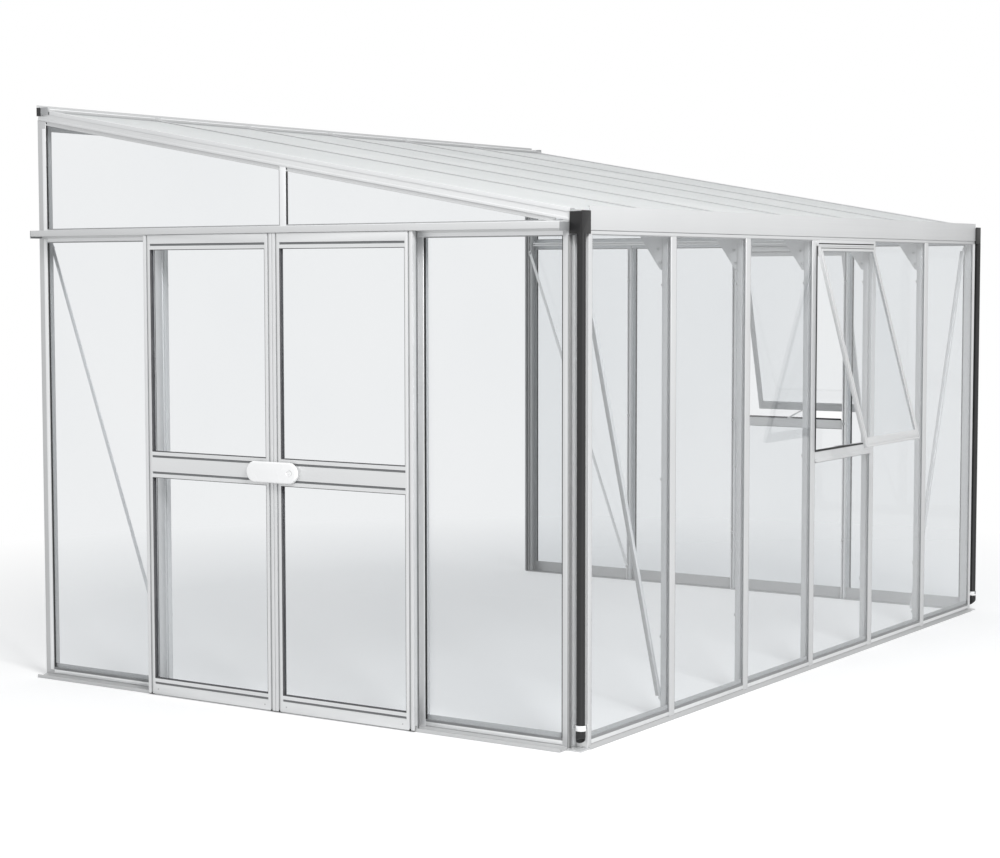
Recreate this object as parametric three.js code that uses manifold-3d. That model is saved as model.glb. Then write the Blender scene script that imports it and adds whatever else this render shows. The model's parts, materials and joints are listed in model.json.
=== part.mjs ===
// A lean-to greenhouse: a glazed aluminium frame with a single-slope roof of twin-wall sheets,
// two sliding doors in one gable, and a top-hung window in the eaves wall and in the far gable.
// Millimetres. While it is laid out, x runs along the eaves from the door gable to the far gable,
// y runs from the outer face of the eaves wall to the house wall, and z runs up from the ground.
import * as THREE from 'three';
import { mergeVertices } from 'three/addons/utils/BufferGeometryUtils.js';
import Module from 'manifold-3d';

const wasm = await Module();
wasm.setup();

// Layout of the bays and the roof
const eavesBay = 620;
const gableBay = 636;
const eavesBayCount = 6;
const gableBayCount = 4;
const cornerLine = 55;
const wallFlangeReach = 24;
const eavesBeamUnder = 1826;
const roofPitchDegrees = 10;
const seatGap = 0.3;
const cutOverrun = 20;

// Glazing bar used for posts, jambs and gable rails: an outer cap, a web and a bolt channel
const capWidth = 40;
const capDepth = 4;
const capEase = 1.5;
const webWidth = 6;
const channelStart = 24;
const channelWidth = 18;
const channelWall = 3;
const channelLip = 3;
const slotWidth = 8;
const barDepth = 48;

// Glass and its seat
const glassThickness = 4;
const glassEdgeGap = 2;
const glassHeadBite = 7;
const glassComb = 9;

// Base sills
const sillWidth = 48;
const sillFloor = 4;
const sillLedgeTop = 36;
const sillUpstandTop = 58;
const sillUpstandWall = 3;
const sillLipTop = 13.7;
const sillLipEdge = 3;
const sillLipReach = 12;
const guideFinGap = 4;
const doorLipFlat = 16;
const guideFinWall = 3;
const guideFinHeight = 14;

// Corner posts, folded inwards so that a downpipe stands in the notch
const cornerNotch = 50;
const cornerWall = 4;
const cornerFlange = 25;
const footReach = 8;
const footThickness = 4;

// Wall posts
const wallCapReach = 21;
const wallFlangeDepth = 60;
const wallFlangeWall = 4;

// Eaves gutter with its beam
const fasciaReach = 3;
const fasciaHeight = 85;
const fasciaShadowGap = 2;
const fasciaReturn = 7;
const gutterWall = 3;
const gutterFloorRise = 17;
const rafterFootRise = 7.5;
const gutterBack = 50;
const beamLipHeight = 12;
const beamDepth = 46;
const beamPocket = 6;

// Downpipes with their outlet boxes and shoes
const outletReach = 6;
const outletFrontReach = 7;
const outletLength = 60;
const outletBack = 44;
const outletDrop = 11;
const outletEndDrop = 20;
const outletFrontDrop = 17;
const outletBackRise = 34;
const outletWall = 3;
const drainHalf = 7;
const pipeInset = 8;
const pipeFrontInset = 4;
const pipeRadius = 15.5;
const pipeBore = 13;
const collarRadius = 17;
const shoeHeight = 46;
const collarHeight = 23;
const shoeRadius = 17.5;
const shoeUnder = 26;
const shoeMouthRadius = 15;
const pipeSides = 20;

// Gable rails
const railDrop = 3;
const railHeight = 50;
const mullionWidth = 30;

// Roof bars and verge rafters, heights above the rafter underside
const supportUnder = 27.5;
const supportTop = 30.5;
const supportWidth = 28;
const sheetUnder = 31;
const sheetThickness = 10;
const roofCapWidth = 30;
const roofCapThickness = 3.7;
const roofBarStart = 25;
const vergeStart = 47;
const vergeWidth = 30;
const vergeWall = 3;
const vergeRoofWall = 4;
const vergeBead = 2;
const vergeBeadHeight = 8;
const vergeGroove = 2;
const vergeCapReach = 3;
const vergeCapWidth = 34;
const vergeSheetInset = 8;
const sheetSlotGap = 1;

// Knee plates between roof bars and eaves posts
const kneeThickness = 4;
const kneeDrop = 172;
const kneeReach = 140;
const kneeNose = 14;
const kneeBite = 22;
const kneeInset = 46;

// Wall plate with its flashing
const plateWall = 4;
const plateDrop = 46;
const plateUpstand = 19;
const plateEndReach = 4;
const ledgeDepth = 59;
const ledgeThickness = 5;
const flashingDepth = 69;
const flashingDrop = 14;
const flashingFall = 6;
const flashingWall = 3;
const sheetJoinDepth = 20;
const sheetHeadGap = 48;

// Diagonal braces
const braceWidth = 16;
const braceThickness = 3;
const braceHeadGap = 15;
const braceFootRise = 8;

// Sliding doors and their track
const trackLeafGap = 4;
const trackWall = 3;
const trackHeadroom = 1.7;
const trackRise = 22;
const trackBackDrop = 8;
const trackEavesEnd = 49;
const trackWallInset = 15;
const shelfInset = 18;
const shelfLipRise = 7;
const leafFront = 62;
const leafThickness = 24;
const leafFoot = 6;
const leafTrackGap = 2;
const leafJambOverlap = 19;
const leafMeetingGap = 2;
const leafMeetingOffset = 6;
const leafStilePlate = 14;
const leafStileGroove = 8;
const leafStileBead = 13;
const leafTopPlate = 34;
const leafMidPlate = 56;
const leafMidPlateUnder = 904;
const leafKickPlate = 40;
const leafBead = 14;
const leafGroove = 9;
const leafGrooveDepth = 4;
const leafPaneBite = 7;
const leafPaneInset = 10;
const guideSlotInset = 6;
const guideSlotWidth = 11.5;
const guideSlotHeight = 16;
const hangerWidth = 34;
const hangerFrontInset = 4;
const hangerThickness = 4;
const hangerNose = 4.7;
const hangerInset = 110;
const rollerRadius = 6;
const rollerLength = 17.5;
const rollerSides = 20;

// Door latch, a capsule that swivels on the eaves-side leaf
const latchLength = 246;
const latchHeight = 82;
const latchThickness = 18;
const latchEdge = 5;
const latchStandoff = 7;
const latchBossRadius = 16;
const latchArcSegments = 10;

// Top-hung windows
const windowOpenDegrees = 15;
const windowHeadHeight = 23.7;
const windowHeadReach = 14;
const windowHeadGrooveDrop = 12.5;
const windowHeadGrooveHeight = 5;
const windowHeadGrooveDepth = 6;
const windowHeadBack = 23;
const windowSillUnder = 883;
const windowSillHeight = 43;
const windowSillShoulderRise = 17;
const windowSillReach = 9;
const windowSillBack = 23;
const windowSillPocket = 12;
const windowJambWidth = 12;
const windowJambBack = 12;
const windowSideGap = 1.5;
const windowHingeReach = 5;
const sashThickness = 16;
const sashFrontReach = 13;
const sashTopAboveHinge = 3;
const sashFootGap = 1;
const sashRail = 22;
const sashFootRail = 40;
const sashPaneBite = 6;
const sashGroove = 2;
const sashGrooveInset = 8;
const sashGrooveWidth = 3;
const stayWidth = 12;
const stayThickness = 3;
const stayLug = 14;
const stayLugWall = 2.5;
const stayPivotLift = 22;
const stayPegInset = 15;
const stayEndLength = 24;
const stayRestLift = 6;
const restWidth = 24;
const restDepth = 14;
const restRise = 3;

// Places worked out from the driving sizes
const length = 2 * cornerLine + eavesBayCount * eavesBay;
const wallFace = cornerLine + gableBayCount * gableBay + wallFlangeReach;
const roofSlope = Math.tan(THREE.MathUtils.degToRad(roofPitchDegrees));
const capFace = capDepth + seatGap;
const glassBack = capFace + glassThickness;
const upstandFront = glassBack + seatGap;
const upstandBack = upstandFront + sillUpstandWall;
const cornerInside = cornerNotch + cornerWall;
const flangeEnd = cornerNotch + cornerFlange;
const paneInset = webWidth / 2 + glassEdgeGap;
const paneFoot = sillLedgeTop + seatGap;
const paneHead = eavesBeamUnder + glassHeadBite;
const beamLipTop = eavesBeamUnder + beamLipHeight;
const fasciaUnder = beamLipTop + fasciaShadowGap;
const fasciaTop = fasciaUnder + fasciaHeight;
const gutterFloorTop = fasciaUnder + gutterFloorRise;
const rafterFoot = gutterFloorTop + rafterFootRise;
const outletUnder = beamLipTop - outletDrop;
const sheetTop = sheetUnder + sheetThickness;
const roofCapUnder = sheetTop + seatGap;
const roofCapTop = roofCapUnder + roofCapThickness;
const roofBarEnd = wallFace - flashingDepth - seatGap;
const plateTop = rafterUnder(wallFace) + sheetTop + plateUpstand;
const flashingHigh = plateTop - flashingDrop;
const flashingLow = flashingHigh - flashingFall;
const railUnder = eavesBeamUnder - railDrop;
const railHalf = railHeight / 2;
const railMiddle = railUnder + railHalf;
const trackReach = leafFront + trackLeafGap;
const trackFasciaUnder = railUnder + trackRise;
const shelfReach = leafFront - shelfInset;
const shelfLipTop = trackFasciaUnder + shelfLipRise;
const rollerCentre = shelfLipTop + seatGap + rollerRadius;
const trackTop = rollerCentre + rollerRadius + trackHeadroom + trackWall;
const leafHead = trackFasciaUnder - leafTrackGap;
const leafWidth = gableBay + leafJambOverlap;
const doorLipReach = leafFront - guideSlotInset - guideFinGap;
const doorLipSlope = doorLipReach - doorLipFlat;
const latchCentreHeight = leafMidPlateUnder + leafMidPlate / 2;
const latchFront = leafFront + latchStandoff + latchThickness;
const openAngle = THREE.MathUtils.degToRad(windowOpenDegrees);
const sashFront = windowHingeReach - sashFrontReach;
const sashCornerRise = sashTopAboveHinge * Math.cos(openAngle) - sashFront * Math.sin(openAngle);
const windowSillTop = windowSillUnder + windowSillHeight;
const restTop = windowSillTop + restRise;
const doorMiddle = gableLine(gableBayCount / 2) + leafMeetingOffset;

const doorSide = (inset) => inset;
const farSide = (inset) => length - inset;

function eavesLine(index) {
  return cornerLine + index * eavesBay;
}

function gableLine(index) {
  return cornerLine + index * gableBay;
}

function rafterUnder(y) {
  return rafterFoot + roofSlope * y;
}

// Finishes of the real materials
const silver = { color: 0xdadcdc, roughness: 0.38, metalness: 0.85 };
const clearGlass = { color: 0xdfe9e6, roughness: 0.04, metalness: 0, transparent: true, opacity: 0.3 };
const opalSheet = { color: 0xe6ecea, roughness: 0.3, metalness: 0, transparent: true, opacity: 0.8 };
const blackPlastic = { color: 0x3f3f40, roughness: 0.45, metalness: 0 };
const whitePlastic = { color: 0xf6f6f5, roughness: 0.3, metalness: 0 };

// Solids, joins and cuts
function shapeOf(points) {
  return new THREE.Shape(points.map(([across, up]) => new THREE.Vector2(across, up)));
}

function extrude(points, depth) {
  return new THREE.ExtrudeGeometry(shapeOf(points), { depth, bevelEnabled: false });
}

function upright(points, bottom, top) {
  return extrude(points, top - bottom).translate(0, 0, bottom);
}

function turned(geometry, first, second, third) {
  return geometry.applyMatrix4(new THREE.Matrix4().makeBasis(first, second, third));
}

const alongUnitX = new THREE.Vector3(1, 0, 0);
const alongUnitY = new THREE.Vector3(0, 1, 0);
const alongUnitZ = new THREE.Vector3(0, 0, 1);
const againstUnitY = alongUnitY.clone().negate();

// A profile of [y, z] points run along x
function alongX(points, from, to) {
  return turned(extrude(points, to - from), alongUnitY, alongUnitZ, alongUnitX).translate(from, 0, 0);
}

// A profile of [x, z] points run along y
function alongY(points, from, to) {
  return turned(extrude(points, to - from), alongUnitX, alongUnitZ, againstUnitY).translate(0, to, 0);
}

// A profile of [x, height above the rafter underside] points run up the roof slope
function upSlope(points, from, to) {
  const slope = new THREE.Matrix4().set(1, 0, 0, 0, 0, 1, 0, 0, 0, roofSlope, 1, rafterFoot, 0, 0, 0, 1);
  return alongY(points, from, to).applyMatrix4(slope);
}

function block(x, y, z) {
  const low = new THREE.Vector3(Math.min(...x), Math.min(...y), Math.min(...z));
  const high = new THREE.Vector3(Math.max(...x), Math.max(...y), Math.max(...z));
  const size = high.clone().sub(low);
  const middle = low.add(high).multiplyScalar(1 / 2);
  return new THREE.BoxGeometry(size.x, size.y, size.z).translate(middle.x, middle.y, middle.z);
}

function toSolid(geometry) {
  const bare = geometry.clone();
  bare.deleteAttribute('normal');
  bare.deleteAttribute('uv');
  const merged = mergeVertices(bare);
  const vertProperties = Float32Array.from(merged.attributes.position.array);
  const triVerts = Uint32Array.from(merged.index.array);
  return new wasm.Manifold(new wasm.Mesh({ numProp: 3, vertProperties, triVerts }));
}

function toGeometry(solid) {
  const mesh = solid.getMesh();
  const geometry = new THREE.BufferGeometry();
  geometry.setAttribute('position', new THREE.BufferAttribute(Float32Array.from(mesh.vertProperties), 3));
  geometry.setIndex(new THREE.BufferAttribute(Uint32Array.from(mesh.triVerts), 1));
  geometry.computeVertexNormals();
  return geometry;
}

function join(...geometries) {
  return toGeometry(geometries.map(toSolid).reduce((whole, next) => whole.add(next)));
}

function cut(geometry, ...cutters) {
  return toGeometry(cutters.map(toSolid).reduce((rest, next) => rest.subtract(next), toSolid(geometry)));
}

const greenhouse = new THREE.Group();

function piece(name, geometry, finish, parent = greenhouse) {
  const mesh = new THREE.Mesh(geometry, new THREE.MeshStandardMaterial(finish));
  mesh.name = name;
  parent.add(mesh);
  return mesh;
}

// Glazing bar outline as [across, inward] points, symmetrical about its line
function barOutline(capHalf = capWidth / 2) {
  const web = webWidth / 2;
  const channel = channelWidth / 2;
  const slot = slotWidth / 2;
  const cavity = channel - channelWall;
  const half = [
    [capHalf - capEase, 0],
    [capHalf, capEase],
    [capHalf, capDepth],
    [web, capDepth],
    [web, channelStart],
    [channel, channelStart],
    [channel, barDepth],
    [slot, barDepth],
    [slot, barDepth - channelLip],
    [cavity, barDepth - channelLip],
    [cavity, channelStart + channelWall],
  ];
  return [...half, ...half.map(([across, inward]) => [-across, inward]).reverse()];
}

// Sill outline as [inward, z] points; grow widens it into the clearance that posts are cut by
function sillOutline(grow = 0) {
  return [
    [-sillLipReach - grow, -grow],
    [sillWidth + grow, -grow],
    [sillWidth + grow, sillFloor + grow],
    [upstandBack + grow, sillFloor + grow],
    [upstandBack + grow, sillUpstandTop + grow],
    [upstandFront - grow, sillUpstandTop + grow],
    [upstandFront - grow, sillLedgeTop + grow],
    [capFace - grow, sillLedgeTop + grow],
    [capFace - grow, sillLipTop + grow],
    [-sillLipReach - grow, sillLipEdge + grow],
  ];
}

// The door gable's sill has a longer lip whose fin guides the foot of the doors
function doorSillOutline(grow = 0) {
  const body = sillOutline(grow).slice(1, -1);
  return [
    [-doorLipReach - grow, -grow],
    ...body,
    [-doorLipSlope, sillLipEdge + grow],
    [-doorLipReach + guideFinWall + grow, sillLipEdge + grow],
    [-doorLipReach + guideFinWall + grow, guideFinHeight + grow],
    [-doorLipReach - grow, guideFinHeight + grow],
  ];
}

function gableSill(outline, at, grow = 0) {
  const points = outline(grow).map(([inward, z]) => [at(inward), z]);
  return alongY(points, cornerInside + seatGap - grow, wallFace + grow);
}

function eavesSill(grow = 0) {
  return alongX(sillOutline(grow), cornerInside + seatGap - grow, farSide(cornerInside + seatGap - grow));
}

function sills() {
  piece('sill_door_gable', gableSill(doorSillOutline, doorSide), silver);
  piece('sill_eaves', eavesSill(), silver);
  piece('sill_far_gable', gableSill(sillOutline, farSide), silver);
}

// Everything above the rafter underside, as a cutter for posts that stop under the roof
function roofCutter() {
  const low = -cutOverrun;
  const high = wallFace + cutOverrun;
  const top = plateTop + cutOverrun;
  const profile = [
    [low, rafterUnder(low) - seatGap],
    [high, rafterUnder(high) - seatGap],
    [high, top],
    [low, top],
  ];
  return alongX(profile, -cutOverrun, length + cutOverrun);
}

function eavesPosts() {
  const combed = [1, 2, eavesBayCount - 1];
  const comb = block([0, length], [capDepth, upstandFront], [sillFloor, paneFoot + glassComb + seatGap]);
  for (let index = 1; index < eavesBayCount; index += 1) {
    const outline = barOutline().map(([across, inward]) => [eavesLine(index) + across, inward]);
    const bar = upright(outline, sillFloor + seatGap, eavesBeamUnder - seatGap);
    const cutters = combed.includes(index) ? [eavesSill(seatGap), comb] : [eavesSill(seatGap)];
    piece(`eaves_post_${index}`, cut(bar, ...cutters), silver);
  }
}

function gablePost(index, at, sill) {
  const outline = barOutline().map(([across, inward]) => [at(inward), gableLine(index) + across]);
  return cut(upright(outline, sillFloor + seatGap, railUnder - seatGap), sill);
}

function gablePosts() {
  const doorSill = gableSill(doorSillOutline, doorSide, seatGap);
  const farSill = gableSill(sillOutline, farSide, seatGap);
  piece('door_jamb_eaves_side', gablePost(1, doorSide, doorSill), silver);
  piece('door_jamb_wall_side', gablePost(gableBayCount - 1, doorSide, doorSill), silver);
  for (let index = 1; index < gableBayCount; index += 1) {
    piece(`far_gable_post_${index}`, gablePost(index, farSide, farSill), silver);
  }
}

// Wall post outline as [across, inward] points: its flange lies against the house wall
function wallPostOutline() {
  const bar = barOutline();
  const withoutRightCap = bar.slice(3, -3);
  return [
    [-wallCapReach + capEase, 0],
    [wallFlangeReach, 0],
    [wallFlangeReach, wallFlangeDepth],
    [wallFlangeReach - wallFlangeWall, wallFlangeDepth],
    [wallFlangeReach - wallFlangeWall, capDepth],
    ...withoutRightCap,
    [-wallCapReach, capDepth],
    [-wallCapReach, capEase],
  ];
}

function wallPost(at, sill) {
  const line = gableLine(gableBayCount);
  const outline = wallPostOutline().map(([across, inward]) => [at(inward), line + across]);
  return cut(upright(outline, sillFloor + seatGap, plateTop), sill, roofCutter());
}

function wallPosts() {
  piece('wall_post_door_gable', wallPost(doorSide, gableSill(doorSillOutline, doorSide, seatGap)), silver);
  piece('wall_post_far_gable', wallPost(farSide, gableSill(sillOutline, farSide, seatGap)), silver);
}

function cornerPost(at, sill) {
  const eavesPart = [
    [cornerNotch, 0],
    [flangeEnd, 0],
    [flangeEnd, capDepth],
    [cornerInside, capDepth],
    [cornerInside, cornerInside],
    [cornerNotch, cornerInside],
  ];
  const gablePart = [
    [0, cornerNotch],
    [cornerInside, cornerNotch],
    [cornerInside, cornerInside],
    [capDepth, cornerInside],
    [capDepth, flangeEnd],
    [0, flangeEnd],
  ];
  const outletSeat = [
    [cornerNotch, 0],
    [cornerInside, 0],
    [cornerInside, cornerInside],
    [cornerNotch, cornerInside],
  ];
  const place = (points) => points.map(([inward, y]) => [at(inward), y]);
  const foot = block([at(-footReach), at(cornerInside)], [-footReach, cornerInside], [0, footThickness]);
  const whole = join(
    upright(place(eavesPart), 0, eavesBeamUnder - seatGap),
    upright(place(gablePart), 0, plateTop),
    upright(place(outletSeat), 0, outletUnder - seatGap),
    foot,
  );
  return cut(whole, sill, eavesSill(seatGap), roofCutter());
}

function cornerPosts() {
  const doorSill = gableSill(doorSillOutline, doorSide, seatGap);
  const farSill = gableSill(sillOutline, farSide, seatGap);
  piece('corner_post_door_gable', cornerPost(doorSide, doorSill), silver);
  piece('corner_post_far_gable', cornerPost(farSide, farSill), silver);
}

// Gutter outline as [y, z] points: fascia, trough and, below it, the beam that the posts carry
function gutterOutline(grow = 0) {
  const back = gutterBack + gutterWall;
  return [
    [-fasciaReach - grow, fasciaUnder - grow],
    [capDepth - grow, fasciaUnder - grow],
    [capDepth - grow, beamLipTop + grow],
    [0 - grow, beamLipTop + grow],
    [0 - grow, eavesBeamUnder - grow],
    [capDepth + grow, eavesBeamUnder - grow],
    [capDepth + grow, paneHead + seatGap - grow],
    [capDepth + beamPocket - grow, paneHead + seatGap - grow],
    [capDepth + beamPocket - grow, eavesBeamUnder - grow],
    [beamDepth + grow, eavesBeamUnder - grow],
    [beamDepth + grow, gutterFloorTop - gutterWall - grow],
    [back + grow, gutterFloorTop - gutterWall - grow],
    [back + grow, rafterUnder(back) - seatGap + grow],
    [gutterBack - grow, rafterUnder(gutterBack) - seatGap + grow],
    [gutterBack - grow, gutterFloorTop + grow],
    [0 + grow, gutterFloorTop + grow],
    [0 + grow, fasciaTop - gutterWall - grow],
    [fasciaReturn + grow, fasciaTop - gutterWall - grow],
    [fasciaReturn + grow, fasciaTop + grow],
    [-fasciaReach - grow, fasciaTop + grow],
  ];
}

function gutter() {
  const start = outletLength + seatGap - outletReach;
  piece('gutter', alongX(gutterOutline(), start, farSide(start)), silver);
}

// Outlet box, downpipe, collar and shoe, moulded and glued as one run of plastic
function downpipe(at) {
  const turnProfile = (points) => {
    const profile = points.map(([radius, z]) => new THREE.Vector2(radius, z));
    const lathe = new THREE.LatheGeometry(profile, pipeSides).rotateX(Math.PI / 2);
    return lathe.translate(at(pipeInset), pipeFrontInset, 0);
  };
  const boxX = [at(-outletReach), at(outletLength - outletReach)];
  const boxY = [-outletFrontReach, outletBack];
  const outletTop = fasciaTop - outletFrontDrop;
  const collarUnder = shoeUnder + shoeHeight;
  const collarTop = collarUnder + collarHeight;
  const box = block(boxX, boxY, [outletUnder, gutterFloorTop + outletBackRise]);
  const endX = [at(-outletReach), at(-outletReach + outletWall)];
  const end = block(endX, boxY, [outletUnder, fasciaTop - outletEndDrop]);
  const front = block(boxX, [-outletFrontReach, -outletFrontReach + outletWall], [outletUnder, outletTop]);
  const troughX = [at(-outletReach + outletWall), at(outletLength + cutOverrun)];
  const troughY = [-outletFrontReach + outletWall, outletBack - outletWall];
  const trough = block(troughX, troughY, [gutterFloorTop, outletTop + cutOverrun]);
  const run = turnProfile([
    [0, shoeUnder],
    [shoeMouthRadius, shoeUnder],
    [shoeRadius, (shoeUnder + collarUnder) / 2],
    [shoeRadius, collarUnder],
    [collarRadius, collarUnder],
    [collarRadius, collarTop],
    [pipeRadius, collarTop],
    [pipeRadius, outletUnder + outletWall],
    [0, outletUnder + outletWall],
  ]);
  const bore = turnProfile([
    [0, shoeUnder - cutOverrun],
    [pipeBore, shoeUnder - cutOverrun],
    [pipeBore, outletUnder],
    [0, outletUnder],
  ]);
  const drainX = [at(pipeInset - drainHalf), at(pipeInset + drainHalf)];
  const drainY = [pipeFrontInset - drainHalf, pipeFrontInset + drainHalf];
  const drain = block(drainX, drainY, [outletUnder - cutOverrun, gutterFloorTop + cutOverrun]);
  return cut(join(box, end, front, run), trough, bore, drain);
}

function downpipes() {
  piece('downpipe_door_gable', downpipe(doorSide), blackPlastic);
  piece('downpipe_far_gable', downpipe(farSide), blackPlastic);
}

// Gable rail with the short mullion that stands on its middle
function gableRail(at) {
  const profile = barOutline(railHalf).map(([across, inward]) => [at(inward), railMiddle + across]);
  const start = flangeEnd + seatGap;
  const end = gableLine(gableBayCount) - wallCapReach - seatGap;
  const rail = alongY(profile, start, end);
  const middle = gableLine(gableBayCount / 2);
  const mullionY = [middle - mullionWidth / 2, middle + mullionWidth / 2];
  const mullion = block([at(0), at(capDepth)], mullionY, [railMiddle, plateTop]);
  return cut(join(rail, mullion), roofCutter());
}

function gableRails() {
  piece('gable_rail_door', gableRail(doorSide), silver);
  piece('gable_rail_far', gableRail(farSide), silver);
}

// Roof bar outline as [across, height] points
function roofBarOutline() {
  const web = webWidth / 2;
  const channel = channelWidth / 2;
  const slot = slotWidth / 2;
  const cavity = channel - channelWall;
  const support = supportWidth / 2;
  const cap = roofCapWidth / 2;
  const half = [
    [cavity, channelStart - channelWall],
    [cavity, channelLip],
    [slot, channelLip],
    [slot, 0],
    [channel, 0],
    [channel, channelStart],
    [web, channelStart],
    [web, supportUnder],
    [support, supportUnder],
    [support, supportTop],
    [web, supportTop],
    [web, roofCapUnder],
    [cap, roofCapUnder],
    [cap, roofCapTop - capEase],
    [cap - capEase, roofCapTop],
  ];
  return [...half, ...half.map(([across, up]) => [-across, up]).reverse()];
}

function kneePlate(line) {
  const end = kneeInset + kneeReach;
  const profile = [
    [kneeInset, rafterUnder(kneeInset) - kneeDrop],
    [kneeInset + kneeNose, rafterUnder(kneeInset) - kneeDrop],
    [end, rafterUnder(end) - kneeNose],
    [end, rafterUnder(end) + kneeBite],
    [kneeInset, rafterUnder(kneeInset) + kneeBite],
  ];
  return alongX(profile, line - kneeThickness / 2, line + kneeThickness / 2);
}

function roofBar(index) {
  const line = eavesLine(index);
  const place = (points) => points.map(([across, up]) => [line + across, up]);
  const outline = roofBarOutline();
  const uncapped = outline.filter(([, up]) => up <= supportTop);
  const bar = upSlope(place(outline), roofBarStart, roofBarEnd);
  const tail = upSlope(place(uncapped), roofBarEnd - seatGap, wallFace - plateWall - seatGap);
  return cut(join(bar, tail, kneePlate(line)), alongX(gutterOutline(seatGap), 0, length));
}

// Verge rafter outline as [inward, height] points
function vergeOutline() {
  return [
    [-vergeBead, 0],
    [vergeWall, 0],
    [vergeWall, supportTop - vergeRoofWall],
    [vergeWidth - vergeWall, supportTop - vergeRoofWall],
    [vergeWidth - vergeWall, 0],
    [vergeWidth, 0],
    [vergeWidth, supportTop],
    [vergeSheetInset - glassEdgeGap, supportTop],
    [vergeSheetInset - glassEdgeGap, roofCapUnder],
    [vergeCapWidth, roofCapUnder],
    [vergeCapWidth, roofCapTop],
    [-vergeCapReach, roofCapTop],
    [-vergeCapReach, supportTop],
    [0, supportTop - vergeGroove],
    [0, vergeBeadHeight + vergeGroove],
    [-vergeBead, vergeBeadHeight],
  ];
}

function vergeRafter(at) {
  const place = (points) => points.map(([inward, up]) => [at(inward), up]);
  const uncapped = vergeOutline().filter(([, up]) => up <= supportTop);
  const bar = upSlope(place(vergeOutline()), vergeStart, roofBarEnd);
  const tail = upSlope(place(uncapped), roofBarEnd - seatGap, wallFace - plateWall - seatGap);
  return join(bar, tail);
}

function roofFrame() {
  piece('verge_rafter_door', vergeRafter(doorSide), silver);
  piece('verge_rafter_far', vergeRafter(farSide), silver);
  for (let index = 1; index < eavesBayCount; index += 1) {
    piece(`roof_bar_${index}`, roofBar(index), silver);
  }
}

// Roof sheets, slotted for the bars and joined in one strip under the flashing
function roofGlazing() {
  const head = wallFace - sheetHeadGap;
  const profile = [
    [vergeSheetInset, sheetUnder],
    [farSide(vergeSheetInset), sheetUnder],
    [farSide(vergeSheetInset), sheetTop],
    [vergeSheetInset, sheetTop],
  ];
  const slots = [];
  for (let index = 1; index < eavesBayCount; index += 1) {
    const half = webWidth / 2 + sheetSlotGap;
    const slot = [
      [eavesLine(index) - half, supportUnder],
      [eavesLine(index) + half, supportUnder],
      [eavesLine(index) + half, roofCapTop],
      [eavesLine(index) - half, roofCapTop],
    ];
    slots.push(upSlope(slot, roofBarStart - cutOverrun, head - sheetJoinDepth));
  }
  piece('roof_glazing', cut(upSlope(profile, roofBarStart, head), ...slots), opalSheet);
}

// Wall plate: a flange on the house wall, a ledge under the bars and a flashing over the sheets
function wallPlate() {
  const face = wallFace - plateWall;
  const ledgeFront = wallFace - ledgeDepth;
  const flashingFront = wallFace - flashingDepth;
  const lipFoot = rafterUnder(flashingFront) + sheetTop + seatGap;
  const plateUnder = rafterUnder(wallFace) - plateDrop;
  const flange = [
    [face, plateUnder],
    [wallFace, plateUnder],
    [wallFace, plateTop],
    [face, plateTop],
  ];
  const ledge = [
    [ledgeFront, rafterUnder(ledgeFront) - seatGap - ledgeThickness],
    [wallFace - plateWall / 2, rafterUnder(face) - seatGap - ledgeThickness],
    [wallFace - plateWall / 2, rafterUnder(face) - seatGap],
    [face, rafterUnder(face) - seatGap],
    [ledgeFront, rafterUnder(ledgeFront) - seatGap],
  ];
  const flashing = [
    [flashingFront, lipFoot],
    [flashingFront + flashingWall, rafterUnder(flashingFront + flashingWall) + sheetTop + seatGap],
    [flashingFront + flashingWall, flashingLow - flashingWall],
    [wallFace - plateWall / 2, flashingHigh - flashingWall],
    [wallFace - plateWall / 2, flashingHigh],
    [flashingFront, flashingLow],
  ];
  const upperFlange = [
    [face, rafterUnder(wallFace) + sheetTop],
    [wallFace, rafterUnder(wallFace) + sheetTop],
    [wallFace, plateTop],
    [face, plateTop],
  ];
  const inner = [wallFlangeDepth + seatGap, farSide(wallFlangeDepth + seatGap)];
  const outer = [-plateEndReach, farSide(-plateEndReach)];
  const lower = join(alongX(flange, ...inner), alongX(ledge, ...inner));
  piece('wall_plate', join(lower, alongX(upperFlange, ...outer), alongX(flashing, ...outer)), silver);
}

// A flat bar between two points of a wall plane, given as [along, z]
function flatBar(low, high, run, nearFace, farFace) {
  const direction = new THREE.Vector2(high[0] - low[0], high[1] - low[1]).normalize();
  const side = new THREE.Vector2(-direction.y, direction.x).multiplyScalar(braceWidth / 2);
  const profile = [
    [low[0] - side.x, low[1] - side.y],
    [low[0] + side.x, low[1] + side.y],
    [high[0] + side.x, high[1] + side.y],
    [high[0] - side.x, high[1] - side.y],
  ];
  return run(profile, Math.min(nearFace, farFace), Math.max(nearFace, farFace));
}

function braces() {
  const near = barDepth + seatGap;
  const far = near + braceThickness;
  const wallPostLine = gableLine(gableBayCount);
  const jambLine = gableLine(gableBayCount - 1);
  const inset = cornerInside + braceWidth;
  const braceFoot = sillUpstandTop + braceFootRise;
  const braceTop = eavesBeamUnder - braceHeadGap;
  const foot = [jambLine, braceFoot];
  const head = [wallPostLine, braceTop];
  const gableBar = (at) => flatBar(foot, head, acrossGable(at), near, far);
  piece('brace_door_gable', gableBar(doorSide), silver);
  piece('brace_far_gable', gableBar(farSide), silver);
  const firstPost = eavesLine(1);
  const lastPost = eavesLine(eavesBayCount - 1);
  const nearBar = flatBar([firstPost, braceFoot], [inset, braceTop], alongY, near, far);
  const farBar = flatBar([lastPost, braceFoot], [farSide(inset), braceTop], alongY, near, far);
  piece('brace_eaves_first_bay', nearBar, silver);
  piece('brace_eaves_last_bay', farBar, silver);
}

// A run across the thickness of a gable
function acrossGable(at) {
  return (points, from, to) => alongX(points, Math.min(at(from), at(to)), Math.max(at(from), at(to)));
}

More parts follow.
